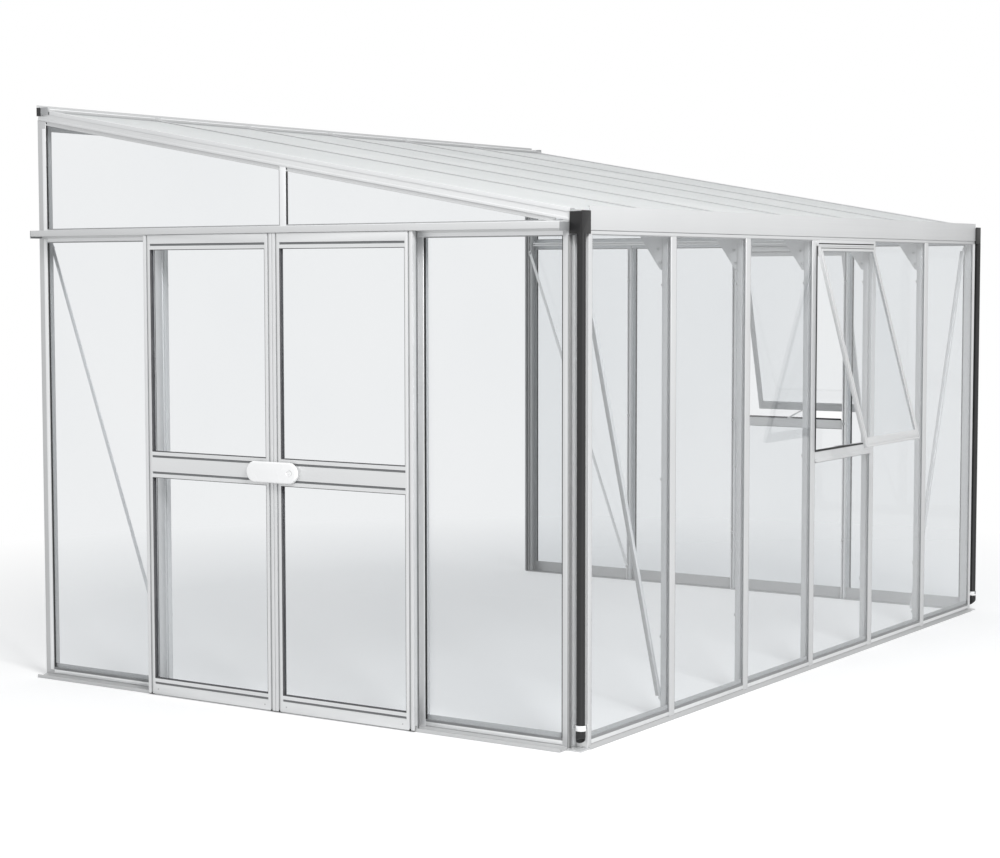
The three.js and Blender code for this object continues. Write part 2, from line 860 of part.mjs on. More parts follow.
// Fixed glass
function eavesGlazing() {
  const depthRange = [capFace, glassBack];
  const sheets = { bays_1_3: [0, 3], bay_4_below_window: [3, 4], bays_5_6: [4, eavesBayCount] };
  for (const [name, [first, last]] of Object.entries(sheets)) {
    const start = first === 0 ? cornerInside + glassEdgeGap : eavesLine(first) + paneInset;
    const end = last === eavesBayCount ? farSide(cornerInside + glassEdgeGap) : eavesLine(last) - paneInset;
    const below = name.endsWith('window');
    const head = below ? windowSillUnder + windowSillPocket - seatGap : paneHead;
    const sheet = block([start, end], depthRange, [paneFoot, head]);
    const slots = [];
    for (let index = first + 1; index < last; index += 1) {
      const slotX = [eavesLine(index) - paneInset, eavesLine(index) + paneInset];
      const slotY = [capFace - cutOverrun, glassBack + cutOverrun];
      slots.push(block(slotX, slotY, [paneFoot + glassComb, paneHead + cutOverrun]));
    }
    piece(`eaves_glass_${name}`, cut(sheet, ...slots), clearGlass);
  }
}

function gablePane(at, index, head) {
  const start = index === 1 ? cornerInside + glassEdgeGap : gableLine(index - 1) + paneInset;
  const end = gableLine(index) - paneInset;
  const foot = paneFoot;
  return block([at(capFace), at(glassBack)], [start, end], [foot, head]);
}

function gableTopPane(at) {
  const start = flangeEnd + glassEdgeGap;
  const end = gableLine(gableBayCount) - paneInset;
  const foot = railMiddle + paneInset;
  const profile = [
    [start, foot],
    [end, foot],
    [end, rafterUnder(end) + vergeBeadHeight],
    [start, rafterUnder(start) + vergeBeadHeight],
  ];
  return acrossGable(at)(profile, capFace, glassBack);
}

function gableGlazing() {
  const head = railMiddle - paneInset;
  piece('door_gable_glass_eaves_side', gablePane(doorSide, 1, head), clearGlass);
  piece('door_gable_glass_wall_side', gablePane(doorSide, gableBayCount, head), clearGlass);
  piece('door_gable_glass_top', gableTopPane(doorSide), clearGlass);
  const belowWindow = windowSillUnder + windowSillPocket - seatGap;
  piece('far_gable_glass_1', gablePane(farSide, 1, head), clearGlass);
  piece('far_gable_glass_2_below_window', gablePane(farSide, 2, belowWindow), clearGlass);
  piece('far_gable_glass_3', gablePane(farSide, 3, head), clearGlass);
  piece('far_gable_glass_4', gablePane(farSide, gableBayCount, head), clearGlass);
  piece('far_gable_glass_top', gableTopPane(farSide), clearGlass);
}

// Door track: a hood with the shelf that the rollers run on
function doorTrack() {
  const back = -seatGap;
  const shelfTop = trackFasciaUnder + trackWall;
  const profile = [
    [back, trackTop],
    [-trackReach, trackTop],
    [-trackReach, trackFasciaUnder],
    [-trackReach + trackWall, trackFasciaUnder],
    [-trackReach + trackWall, trackTop - trackWall],
    [back - trackWall, trackTop - trackWall],
    [back - trackWall, shelfTop],
    [-shelfReach + trackWall, shelfTop],
    [-shelfReach + trackWall, shelfLipTop],
    [-shelfReach, shelfLipTop],
    [-shelfReach, trackFasciaUnder],
    [back - trackWall, trackFasciaUnder],
    [back - trackWall, trackFasciaUnder - trackBackDrop],
    [back, trackFasciaUnder - trackBackDrop],
  ];
  piece('door_track', alongY(profile, trackEavesEnd, wallFace - trackWallInset), silver);
}

// One door leaf between two places along y, with its hangers and rollers
function leafFrame(from, to) {
  const back = leafFront - leafThickness;
  const border = leafStilePlate + leafStileGroove + leafStileBead;
  const trim = leafGroove + leafBead;
  const slab = block([-leafFront, -back], [from, to], [leafFoot, leafHead]);
  const openings = [
    [leafFoot + leafKickPlate + trim, leafMidPlateUnder - trim],
    [leafMidPlateUnder + leafMidPlate + trim, leafHead - leafTopPlate - trim],
  ];
  const cutters = [];
  const grooveX = [-leafFront - cutOverrun, -leafFront + leafGrooveDepth];
  const fullHeight = [leafFoot - cutOverrun, leafHead + cutOverrun];
  for (const [edge, side] of [[from, 1], [to, -1]]) {
    const plateEdge = edge + side * leafStilePlate;
    cutters.push(block(grooveX, [plateEdge, plateEdge + side * leafStileGroove], fullHeight));
  }
  for (const [low, high] of openings) {
    const overX = [-leafFront - cutOverrun, -back + cutOverrun];
    const between = [from + border, to - border];
    cutters.push(block(overX, between, [low, high]));
    cutters.push(block(grooveX, between, [low - trim, low - leafBead]));
    cutters.push(block(grooveX, between, [high + leafBead, high + trim]));
  }
  const paneFront = leafPaneInset - leafFront;
  const paneX = [paneFront - seatGap, paneFront + glassThickness + seatGap];
  const bite = leafPaneBite + seatGap;
  const paneY = [from + border - bite, to - border + bite];
  cutters.push(block(paneX, paneY, [openings[0][0] - bite, openings[1][1] + bite]));
  const guideX = [guideSlotInset - leafFront, guideSlotInset + guideSlotWidth - leafFront];
  cutters.push(block(guideX, [from - cutOverrun, to + cutOverrun], [0, leafFoot + guideSlotHeight]));
  const hangers = [from + hangerInset, to - hangerInset].map(hanger);
  return join(cut(slab, ...cutters), ...hangers);
}

function hanger(y) {
  const front = hangerFrontInset - leafFront;
  const tabY = [y - hangerWidth / 2, y + hangerWidth / 2];
  const tabZ = [leafHead - hangerWidth / 2, rollerCentre + hangerNose];
  const tab = block([front, front + hangerThickness], tabY, tabZ);
  const roller = new THREE.CylinderGeometry(rollerRadius, rollerRadius, rollerLength, rollerSides);
  roller.rotateZ(Math.PI / 2);
  return join(tab, roller.translate(front + rollerLength / 2, y, rollerCentre));
}

function leafPane(from, to) {
  const border = leafStilePlate + leafStileGroove + leafStileBead - leafPaneBite;
  const foot = leafFoot + leafKickPlate + leafGroove + leafBead - leafPaneBite;
  const head = leafHead - leafTopPlate - leafGroove - leafBead + leafPaneBite;
  const front = leafPaneInset - leafFront;
  return block([front, front + glassThickness], [from + border, to - border], [foot, head]);
}

function doors() {
  const leaves = {
    wall_side: [doorMiddle + leafMeetingGap / 2, doorMiddle + leafMeetingGap / 2 + leafWidth],
    eaves_side: [doorMiddle - leafMeetingGap / 2 - leafWidth, doorMiddle - leafMeetingGap / 2],
  };
  for (const [side, [from, to]] of Object.entries(leaves)) {
    piece(`door_frame_${side}`, leafFrame(from, to), silver);
    piece(`door_glass_${side}`, leafPane(from, to), clearGlass);
  }
}

// Latch capsule with its pivot boss, drawn flat and stood up against the doors
function doorLatch() {
  const end = latchHeight / 2 - latchEdge;
  const reach = (latchLength - latchHeight) / 2;
  const outline = new THREE.Shape();
  outline.absarc(reach, 0, end, -Math.PI / 2, Math.PI / 2);
  outline.absarc(-reach, 0, end, Math.PI / 2, 3 * Math.PI / 2);
  outline.closePath();
  const capsule = new THREE.ExtrudeGeometry(outline, {
    depth: latchThickness - 2 * latchEdge,
    bevelThickness: latchEdge,
    bevelSize: latchEdge,
    bevelSegments: 3,
    curveSegments: latchArcSegments,
  });
  capsule.translate(0, 0, latchEdge);
  const againstX = alongUnitX.clone().negate();
  turned(capsule, againstUnitY, alongUnitZ, againstX);
  const centreLine = doorMiddle - leafMeetingOffset;
  capsule.translate(-latchFront + latchThickness, centreLine, latchCentreHeight);
  const bossLength = latchStandoff - seatGap + latchEdge;
  const boss = new THREE.CylinderGeometry(latchBossRadius, latchBossRadius, bossLength, pipeSides);
  boss.rotateZ(Math.PI / 2);
  boss.translate(-leafFront - seatGap - bossLength / 2, centreLine - reach, latchCentreHeight);
  piece('door_latch', join(capsule, boss), whitePlastic);
}

// A window is drawn in a wall's own directions: across from one post line to the next,
// inward from the wall's outer face, and z up
function windowFrame(first, last, windowHeadTop) {
  const windowHeadUnder = windowHeadTop - windowHeadHeight;
  const windowHeadGrooveTop = windowHeadTop - windowHeadGrooveDrop;
  const windowHeadGrooveUnder = windowHeadGrooveTop - windowHeadGrooveHeight;
  const windowSillShoulder = windowSillUnder + windowSillShoulderRise;
  const outerSide = paneInset;
  const frontSide = capWidth / 2 + windowSideGap;
  const headBack = [
    [capFace, windowHeadUnder],
    [windowHeadBack, windowHeadUnder],
    [windowHeadBack, windowHeadTop],
    [capFace, windowHeadTop],
  ];
  const headFront = [
    [-windowHeadReach, windowHeadUnder],
    [capFace + seatGap, windowHeadUnder],
    [capFace + seatGap, windowHeadTop],
    [-windowHeadReach, windowHeadTop],
    [-windowHeadReach, windowHeadGrooveTop],
    [-windowHeadReach + windowHeadGrooveDepth, windowHeadGrooveTop],
    [-windowHeadReach + windowHeadGrooveDepth, windowHeadGrooveUnder],
    [-windowHeadReach, windowHeadGrooveUnder],
  ];
  const pocketTop = windowSillUnder + windowSillPocket;
  const sillBack = [
    [capFace, windowSillUnder + windowSillPocket],
    [glassBack + seatGap, pocketTop],
    [glassBack + seatGap, windowSillUnder],
    [windowSillBack, windowSillUnder],
    [windowSillBack, windowSillTop],
    [capFace, windowSillTop],
  ];
  const sillFront = [
    [-windowSillReach, windowSillUnder],
    [capFace - seatGap, windowSillUnder],
    [capFace - seatGap, pocketTop],
    [capFace + seatGap, pocketTop],
    [capFace + seatGap, windowSillTop],
    [0, windowSillTop],
    [0, windowSillShoulder],
    [-windowSillReach, windowSillShoulder - windowSillReach],
  ];
  const middle = (first + last) / 2;
  const jamb = (edge, side) => {
    const inner = edge + side * windowJambWidth;
    return block([edge, inner], [capFace, windowJambBack], [pocketTop, windowHeadTop]);
  };
  const restAcross = [middle - restWidth / 2, middle + restWidth / 2];
  const restInward = [stayPegInset - restDepth / 2, stayPegInset + restDepth / 2];
  return join(
    alongX(headBack, first + outerSide, last - outerSide),
    alongX(headFront, first + frontSide, last - frontSide),
    alongX(sillBack, first + outerSide, last - outerSide),
    alongX(sillFront, first + frontSide, last - frontSide),
    jamb(first + outerSide, 1),
    jamb(last - outerSide, -1),
    block(restAcross, restInward, [windowSillTop - windowSillReach, restTop]),
  );
}

// Sash and pane hang from the hinge line, with the origin of their group on it
function sashParts(first, last, hingeHeight) {
  const sashHeight = hingeHeight + sashTopAboveHinge - windowSillTop - sashFootGap;
  const halfWidth = (last - first) / 2 - capWidth / 2 - 2 * windowSideGap;
  const front = sashFront;
  const back = front + sashThickness;
  const foot = sashTopAboveHinge - sashHeight;
  const slab = block([-halfWidth, halfWidth], [front, back], [foot, sashTopAboveHinge]);
  const inner = halfWidth - sashRail;
  const innerZ = [foot + sashFootRail, sashTopAboveHinge - sashRail];
  const over = [front - cutOverrun, back + cutOverrun];
  const opening = block([-inner, inner], over, innerZ);
  const grooveInner = halfWidth - sashGrooveInset - sashGrooveWidth;
  const grooveOuter = halfWidth - sashGrooveInset;
  const grooveDepth = [front - cutOverrun, front + sashGroove];
  const outerZ = [foot + sashGrooveInset, sashTopAboveHinge - sashGrooveInset];
  const insideZ = [outerZ[0] + sashGrooveWidth, outerZ[1] - sashGrooveWidth];
  const groove = cut(
    block([-grooveOuter, grooveOuter], grooveDepth, outerZ),
    block([-grooveInner, grooveInner], [front - 2 * cutOverrun, back], insideZ),
  );
  const paneFront = (front + back - glassThickness) / 2;
  const bite = sashPaneBite;
  const paneZ = [innerZ[0] - bite, innerZ[1] + bite];
  const glass = block([-inner - bite, inner + bite], [paneFront, paneFront + glassThickness], paneZ);
  const seatY = [paneFront - seatGap, paneFront + glassThickness + seatGap];
  const seatZ = [paneZ[0] - seatGap, paneZ[1] + seatGap];
  const seat = block([-inner - bite - seatGap, inner + bite + seatGap], seatY, seatZ);
  const lugInner = stayWidth / 2 + seatGap;
  const lugY = [back - sashGroove, back + stayLug];
  const lugZ = [foot + stayPivotLift - stayLug / 2, foot + stayPivotLift + stayLug / 2];
  const lugs = [-1, 1].map((side) => block([side * lugInner, side * (lugInner + stayLugWall)], lugY, lugZ));
  return { sash: join(cut(slab, opening, groove, seat), ...lugs), glass, back, foot };
}

// The stay reaches from its lug on the sash foot to the rest on the sill
function stayBar(pivot, restPoint) {
  const direction = new THREE.Vector2(restPoint[0] - pivot[0], restPoint[1] - pivot[1]).normalize();
  const side = new THREE.Vector2(-direction.y, direction.x).multiplyScalar(stayThickness / 2);
  const start = [pivot[0], pivot[1]];
  const end = [restPoint[0] + direction.x * stayEndLength, restPoint[1] + direction.y * stayEndLength];
  const profile = [
    [start[0] - side.x, start[1] - side.y],
    [end[0] - side.x, end[1] - side.y],
    [end[0] + side.x, end[1] + side.y],
    [start[0] + side.x, start[1] + side.y],
  ];
  return alongX(profile, -stayWidth / 2, stayWidth / 2);
}

function windowIn(wall, name, first, last, opensUnder) {
  const middle = (first + last) / 2;
  const windowHeadTop = opensUnder - seatGap;
  const hingeHeight = windowHeadTop - windowHeadHeight - seatGap - sashCornerRise;
  piece(`${name}_window_frame`, windowFrame(first, last, windowHeadTop), silver, wall);
  const hung = new THREE.Group();
  hung.position.set(middle, -windowHingeReach, hingeHeight);
  hung.rotation.x = -openAngle;
  wall.add(hung);
  const { sash, glass, back, foot } = sashParts(first, last, hingeHeight);
  piece(`${name}_window_sash`, sash, silver, hung);
  piece(`${name}_window_glass`, glass, clearGlass, hung);
  const pivotLocal = new THREE.Vector3(0, back + stayLug / 2, foot + stayPivotLift);
  const pivot = pivotLocal.applyAxisAngle(alongUnitX, -openAngle);
  const stay = new THREE.Group();
  stay.position.set(middle, 0, 0);
  wall.add(stay);
  const pivotPoint = [pivot.y - windowHingeReach, pivot.z + hingeHeight];
  const restPoint = [stayPegInset, restTop + stayRestLift];
  piece(`${name}_window_stay`, stayBar(pivotPoint, restPoint), silver, stay);
}

function windows() {
  const eavesWall = new THREE.Group();
  greenhouse.add(eavesWall);
  windowIn(eavesWall, 'eaves', eavesLine(3), eavesLine(4), eavesBeamUnder);
  const farWall = new THREE.Group();
  farWall.rotation.z = Math.PI / 2;
  farWall.position.x = length;
  greenhouse.add(farWall);
  windowIn(farWall, 'far', gableLine(1), gableLine(2), railUnder);
}

sills();
eavesPosts();
gablePosts();
wallPosts();
cornerPosts();
gutter();
downpipes();
gableRails();
roofFrame();
roofGlazing();
wallPlate();
braces();
eavesGlazing();
gableGlazing();
doorTrack();
doors();
doorLatch();
windows();

// The origin is the middle of the underside of the whole greenhouse
greenhouse.updateMatrixWorld(true);
const reach = new THREE.Box3().setFromObject(greenhouse, true);
const middle = reach.getCenter(new THREE.Vector3());
greenhouse.position.set(-middle.x, -middle.y, -reach.min.z);

export default greenhouse;
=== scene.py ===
"""Looks of a lean-to greenhouse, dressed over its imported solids.

Metres, in the frame of the solids: +X along the eaves, +Y towards the house wall, +Z up.
"""

import json
import logging
import math
from dataclasses import dataclass, field
from enum import Enum
from typing import Iterable, Sequence

import bpy
from mathutils import Matrix, Vector


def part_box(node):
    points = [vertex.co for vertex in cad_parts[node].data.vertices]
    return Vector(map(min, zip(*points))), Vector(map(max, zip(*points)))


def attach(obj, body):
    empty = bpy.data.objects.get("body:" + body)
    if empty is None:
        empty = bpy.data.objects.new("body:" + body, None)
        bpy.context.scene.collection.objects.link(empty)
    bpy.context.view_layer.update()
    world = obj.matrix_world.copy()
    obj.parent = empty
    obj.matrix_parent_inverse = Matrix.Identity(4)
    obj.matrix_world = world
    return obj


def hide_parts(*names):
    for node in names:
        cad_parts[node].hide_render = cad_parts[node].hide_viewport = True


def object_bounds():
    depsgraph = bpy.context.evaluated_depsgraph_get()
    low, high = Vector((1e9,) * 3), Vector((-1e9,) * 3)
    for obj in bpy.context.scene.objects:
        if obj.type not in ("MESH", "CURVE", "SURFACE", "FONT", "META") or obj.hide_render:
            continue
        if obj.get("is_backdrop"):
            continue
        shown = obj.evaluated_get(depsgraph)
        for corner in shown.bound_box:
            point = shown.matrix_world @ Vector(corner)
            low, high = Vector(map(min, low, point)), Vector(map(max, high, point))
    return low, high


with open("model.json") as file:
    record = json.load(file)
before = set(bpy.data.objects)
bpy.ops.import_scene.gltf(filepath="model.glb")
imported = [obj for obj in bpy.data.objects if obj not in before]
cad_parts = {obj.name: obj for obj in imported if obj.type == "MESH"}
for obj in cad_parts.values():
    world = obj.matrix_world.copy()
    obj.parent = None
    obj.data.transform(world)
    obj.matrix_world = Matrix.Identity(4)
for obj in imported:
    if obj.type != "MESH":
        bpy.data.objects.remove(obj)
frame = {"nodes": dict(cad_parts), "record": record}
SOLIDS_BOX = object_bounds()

LOG = logging.getLogger("greenhouse")
FRAME_BODY = "greenhouse_frame"

ALUMINIUM_SLOT = "aluminium"
GLASS_SLOT = "clear_glass"
SHEET_SLOT = "twinwall_sheet"
BLACK_SLOT = "black_plastic"
WHITE_SLOT = "white_plastic"

NOISE_SPAN = (0.3, 0.7)
WAVE_RATE = 10.0
SMOOTH_DEGREES = 34.0
MERGE_DISTANCE = 0.00002
FLAT_DEGREES = 0.5

Colour = tuple[float, float, float]
Span = tuple[float, float]


class Way(Enum):
    """Direction in which a section was drawn, as the stretch of its die lines."""

    ALONG_EAVES = (1.2, 190.0, 190.0)
    TO_WALL = (190.0, 1.2, 190.0)
    UPRIGHT = (190.0, 190.0, 1.2)


class PaintedLight(Enum):
    """Painted light and shade of a set of drawn bars: one aluminium made paler or darker to stand in for the
    light that falls on them.
    """

    # Each value scales the colour of the same aluminium: high ones paint light on bars that catch it, low
    # ones paint shade in recesses, grooves, under overhangs and behind the glass.
    PALE = 0.880
    POST = 0.640
    JAMB = 0.810
    LEAF = 0.750
    FRAME = 0.680
    FASCIA = 0.645
    TRACK = 0.660
    CORNER_POST = 0.670
    CORNER = 0.630
    BASE = 0.565
    SHADE = 0.500
    GROOVE = 0.300


class Facing(Enum):
    """Direction that the head of a fastener looks in."""

    DOOR_GABLE = (-1.0, 0.0, 0.0)
    FAR_GABLE = (1.0, 0.0, 0.0)
    WALL = (0.0, 1.0, 0.0)
    TOP = (0.0, 0.0, 1.0)


def link(tree: bpy.types.NodeTree, source: bpy.types.NodeSocket, target: bpy.types.NodeSocket) -> None:
    """Joins two sockets of a node tree."""
    tree.links.new(source, target)


def fresh_material(name: str) -> tuple[bpy.types.Material, bpy.types.NodeTree, bpy.types.Node]:
    """Makes a material with one Principled shader.

    Args:
        name: name of the material.

    Returns:
        The material, its node tree and the Principled node.
    """
    material = bpy.data.materials.new(name)
    material.use_nodes = True
    tree = material.node_tree
    return material, tree, tree.nodes["Principled BSDF"]


def any_ray(tree: bpy.types.NodeTree, *kinds: str) -> bpy.types.NodeSocket:
    """Adds nodes that tell rays of some kinds from all others.

    Args:
        tree: node tree that gets them.
        kinds: names of the outputs of a light path.

    Returns:
        The socket that is 1 for such a ray.
    """
    path = tree.nodes.new("ShaderNodeLightPath")
    found = path.outputs[kinds[0]]
    for kind in kinds[1:]:
        either = tree.nodes.new("ShaderNodeMath")
        either.operation = "MAXIMUM"
        link(tree, found, either.inputs[0])
        link(tree, path.outputs[kind], either.inputs[1])
        found = either.outputs[0]
    return found


def blend(
    tree: bpy.types.NodeTree,
    share: bpy.types.NodeSocket,
    first: bpy.types.NodeSocket,
    second: bpy.types.NodeSocket,
) -> bpy.types.NodeSocket:
    """Adds a mix of two shaders.

    Args:
        tree: node tree that gets it.
        share: socket with the share of the second shader.
        first: the first shader.
        second: the second shader.

    Returns:
        The socket with the mix.
    """
    mix = tree.nodes.new("ShaderNodeMixShader")
    link(tree, share, mix.inputs["Fac"])
    link(tree, first, mix.inputs[1])
    link(tree, second, mix.inputs[2])
    return mix.outputs["Shader"]


class Surface:
    """Material being wired, with cloud, speck and line marks to drive its look."""

    def __init__(self, name: str, group: bpy.types.NodeTree, scales: tuple[float, float]) -> None:
        """Makes the material and lays the marks on it.

        Args:
            name: name of the material.
            group: the die line group.
            scales: scale of the clouds and of the specks.
        """
        self.material, self.tree, self.shader = fresh_material(name)
        self.place = self.tree.nodes.new("ShaderNodeTexCoord").outputs["Object"]
        self.pattern = self.tree.nodes.new("ShaderNodeGroup")
        self.pattern.node_tree = group
        self.pattern.inputs["Line Scale"].default_value = 1.0
        for kind, scale in zip(("Cloud Scale", "Speck Scale"), scales):
            self.pattern.inputs[kind].default_value = scale
        self.marks = self.pattern.outputs
        link(self.tree, self.place, self.pattern.inputs["Vector"])

    def stretch(self, way: Way) -> None:
        """Stretches the die lines along the direction that a section was drawn in.

        Args:
            way: the direction.
        """
        mapping = self.tree.nodes.new("ShaderNodeMapping")
        mapping.inputs["Scale"].default_value = way.value
        link(self.tree, self.place, mapping.inputs["Vector"])
        link(self.tree, mapping.outputs["Vector"], self.pattern.inputs["Stretched"])

    def ribs(self, pitch: float) -> bpy.types.NodeSocket:
        """Adds the bands of the inner ribs of a sheet.

        Args:
            pitch: distance between two ribs.

        Returns:
            The socket with the bands.
        """
        wave = self.tree.nodes.new("ShaderNodeTexWave")
        wave.wave_type = "BANDS"
        wave.bands_direction = "X"
        wave.inputs["Scale"].default_value = math.pi / (WAVE_RATE * pitch)
        wave.inputs["Distortion"].default_value = 0.0
        link(self.tree, self.place, wave.inputs["Vector"])
        return wave.outputs["Fac"]

    def colour(self, driver: bpy.types.NodeSocket, deep: Sequence[float], pale: Sequence[float]) -> None:
        """Runs the colour between two colours over the middle of a noise.

        Args:
            driver: socket with the noise.
            deep: colour at its low end.
            pale: colour at its high end.
        """
        ramp = self.tree.nodes.new("ShaderNodeValToRGB")
        first, last = ramp.color_ramp.elements
        first.position, last.position = NOISE_SPAN
        first.color = (*deep, 1.0)
        last.color = (*pale, 1.0)
        link(self.tree, driver, ramp.inputs["Fac"])
        link(self.tree, ramp.outputs["Color"], self.shader.inputs["Base Color"])

    def gloss(self, driver: bpy.types.NodeSocket, smooth: float, rough: float) -> None:
        """Runs the roughness between two values over the middle of a noise.

        Args:
            driver: socket with the noise.
            smooth: roughness at its low end.
            rough: roughness at its high end.
        """
        spread = self.tree.nodes.new("ShaderNodeMapRange")
        spread.inputs["From Min"].default_value, spread.inputs["From Max"].default_value = NOISE_SPAN
        spread.inputs["To Min"].default_value = smooth
        spread.inputs["To Max"].default_value = rough
        link(self.tree, driver, spread.inputs["Value"])
        link(self.tree, spread.outputs["Result"], self.shader.inputs["Roughness"])

    def relief(self, driver: bpy.types.NodeSocket, depth: float, strength: float) -> None:
        """Gives the surface a relief.

        Args:
            driver: socket with the height.
            depth: depth of the relief.
            strength: how strongly it turns the light.
        """
        bump = self.tree.nodes.new("ShaderNodeBump")
        bump.inputs["Distance"].default_value = depth
        bump.inputs["Strength"].default_value = strength
        link(self.tree, driver, bump.inputs["Height"])
        link(self.tree, bump.outputs["Normal"], self.shader.inputs["Normal"])

    def let_lamps_through(self, passed: Sequence[float]) -> None:
        """Lets lamp and bounced light pass a clear pane, as thin glass does.

        Args:
            passed: colour of the light that passes.
        """
        clear = self.tree.nodes.new("ShaderNodeBsdfTransparent")
        clear.inputs["Color"].default_value = (*passed, 1.0)
        lighting = any_ray(self.tree, "Is Shadow Ray", "Is Diffuse Ray")
        shown = blend(self.tree, lighting, self.shader.outputs["BSDF"], clear.outputs["BSDF"])
        link(self.tree, shown, self.tree.nodes["Material Output"].inputs["Surface"])


def die_line_group() -> bpy.types.NodeTree:
    """Builds the group that gives die lines and slow cloudiness of a drawn or moulded surface.

    Returns:
        The node group, with Lines, Clouds and Specks as outputs.
    """
    group = bpy.data.node_groups.new("die_lines", "ShaderNodeTree")
    sockets = (
        ("Vector", "INPUT", "NodeSocketVector"),
        ("Stretched", "INPUT", "NodeSocketVector"),
        ("Line Scale", "INPUT", "NodeSocketFloat"),
        ("Cloud Scale", "INPUT", "NodeSocketFloat"),
        ("Speck Scale", "INPUT", "NodeSocketFloat"),
        ("Lines", "OUTPUT", "NodeSocketFloat"),
        ("Clouds", "OUTPUT", "NodeSocketFloat"),
        ("Specks", "OUTPUT", "NodeSocketFloat"),
    )
    for name, side, kind in sockets:
        group.interface.new_socket(name, in_out=side, socket_type=kind)
    given = group.nodes.new("NodeGroupInput")
    out = group.nodes.new("NodeGroupOutput")
    for name, place, detail in (
        ("Line", "Stretched", 3.0),
        ("Cloud", "Vector", 2.0),
        ("Speck", "Vector", 1.0),
    ):
        noise = group.nodes.new("ShaderNodeTexNoise")
        noise.inputs["Detail"].default_value = detail
        link(group, given.outputs[place], noise.inputs["Vector"])
        link(group, given.outputs[f"{name} Scale"], noise.inputs["Scale"])
        link(group, noise.outputs["Fac"], out.inputs[f"{name}s"])
    return group


@dataclass(frozen=True)
class DrawnAluminium:
    """Satin mill-finish aluminium with die lines along its length."""

    name: str
    way: Way
    # Share of the colour that paints the light and shade of this set of bars.
    tone: float
    pale: Colour = (1.02, 1.027, 1.031)
    deep: Colour = (0.97, 0.977, 0.982)
    metallic: float = 0.35
    smooth: float = 0.34
    rough: float = 0.46
    line_depth: float = 0.00003
    line_strength: float = 0.6
    scales: tuple[float, float] = (2.2, 340.0)

    def material(self, group: bpy.types.NodeTree) -> bpy.types.Material:
        """Builds the material.

        Args:
            group: the die line group.

        Returns:
            The material.
        """
        surface = Surface(self.name, group, self.scales)
        surface.stretch(self.way)
        # Both colours are scaled by the tone, which paints light and shade.
        deep, pale = ([share * self.tone for share in shares] for shares in (self.deep, self.pale))
        surface.colour(surface.marks["Clouds"], deep, pale)
        surface.gloss(surface.marks["Lines"], self.smooth, self.rough)
        surface.relief(surface.marks["Lines"], self.line_depth, self.line_strength)
        surface.shader.inputs["Metallic"].default_value = self.metallic
        return surface.material


@dataclass(frozen=True)
class MouldedPlastic:
    """Moulded plastic or rubber with a fine grain and slow cloudiness."""

    name: str
    pale: Colour
    deep: Colour
    smooth: float
    rough: float
    grain: float = 0.00004
    coat: float = 0.0
    grain_strength: float = 0.5
    scales: tuple[float, float] = (9.0, 900.0)

    def material(self, group: bpy.types.NodeTree) -> bpy.types.Material:
        """Builds the material.

        Args:
            group: the die line group.

        Returns:
            The material.
        """
        surface = Surface(self.name, group, self.scales)
        surface.colour(surface.marks["Clouds"], self.deep, self.pale)
        surface.gloss(surface.marks["Clouds"], self.smooth, self.rough)
        surface.relief(surface.marks["Specks"], self.grain, self.grain_strength)
        surface.shader.inputs["Coat Weight"].default_value = self.coat
        return surface.material


@dataclass(frozen=True)
class ClearGlass:
    """Clear float glass, a little blue, with a faint cloudiness."""

    name: str = "clear_glass"
    pale: Colour = (0.855, 0.868, 0.878)
    deep: Colour = (0.832, 0.848, 0.860)
    passed: Colour = (0.90, 0.905, 0.91)
    ior: float = 1.45
    scales: tuple[float, float] = (1.3, 60.0)

    def material(self, group: bpy.types.NodeTree) -> bpy.types.Material:
        """Builds the material.

        Args:
            group: the die line group.

        Returns:
            The material.
        """
        surface = Surface(self.name, group, self.scales)
        surface.colour(surface.marks["Clouds"], self.deep, self.pale)
        surface.shader.inputs["Roughness"].default_value = 0.0
        surface.shader.inputs["Transmission Weight"].default_value = 1.0
        surface.shader.inputs["IOR"].default_value = self.ior
        surface.let_lamps_through(self.passed)
        return surface.material


@dataclass(frozen=True)
class TwinWallSheet:
    """Translucent twin-wall sheet with its inner ribs running up the slope."""

    name: str = "twinwall_sheet"
    web: Colour = (0.76, 0.78, 0.78)
    flute: Colour = (0.84, 0.86, 0.855)
    passed: Colour = (0.50, 0.51, 0.51)
    rib_pitch: float = 0.0105
    rib_depth: float = 0.0003
    rib_strength: float = 0.5
    smooth: float = 0.30
    rough: float = 0.42
    transmission: float = 0.35
    ior: float = 1.3
    scales: tuple[float, float] = (1.7, 150.0)

    def material(self, group: bpy.types.NodeTree) -> bpy.types.Material:
        """Builds the material.

        Args:
            group: the die line group.

        Returns:
            The material.
        """
        surface = Surface(self.name, group, self.scales)
        ribs = surface.ribs(self.rib_pitch)
        surface.colour(ribs, self.web, self.flute)
        surface.gloss(surface.marks["Clouds"], self.smooth, self.rough)
        surface.relief(ribs, self.rib_depth, self.rib_strength)
        surface.shader.inputs["Transmission Weight"].default_value = self.transmission
        surface.shader.inputs["IOR"].default_value = self.ior
        surface.let_lamps_through(self.passed)
        return surface.material


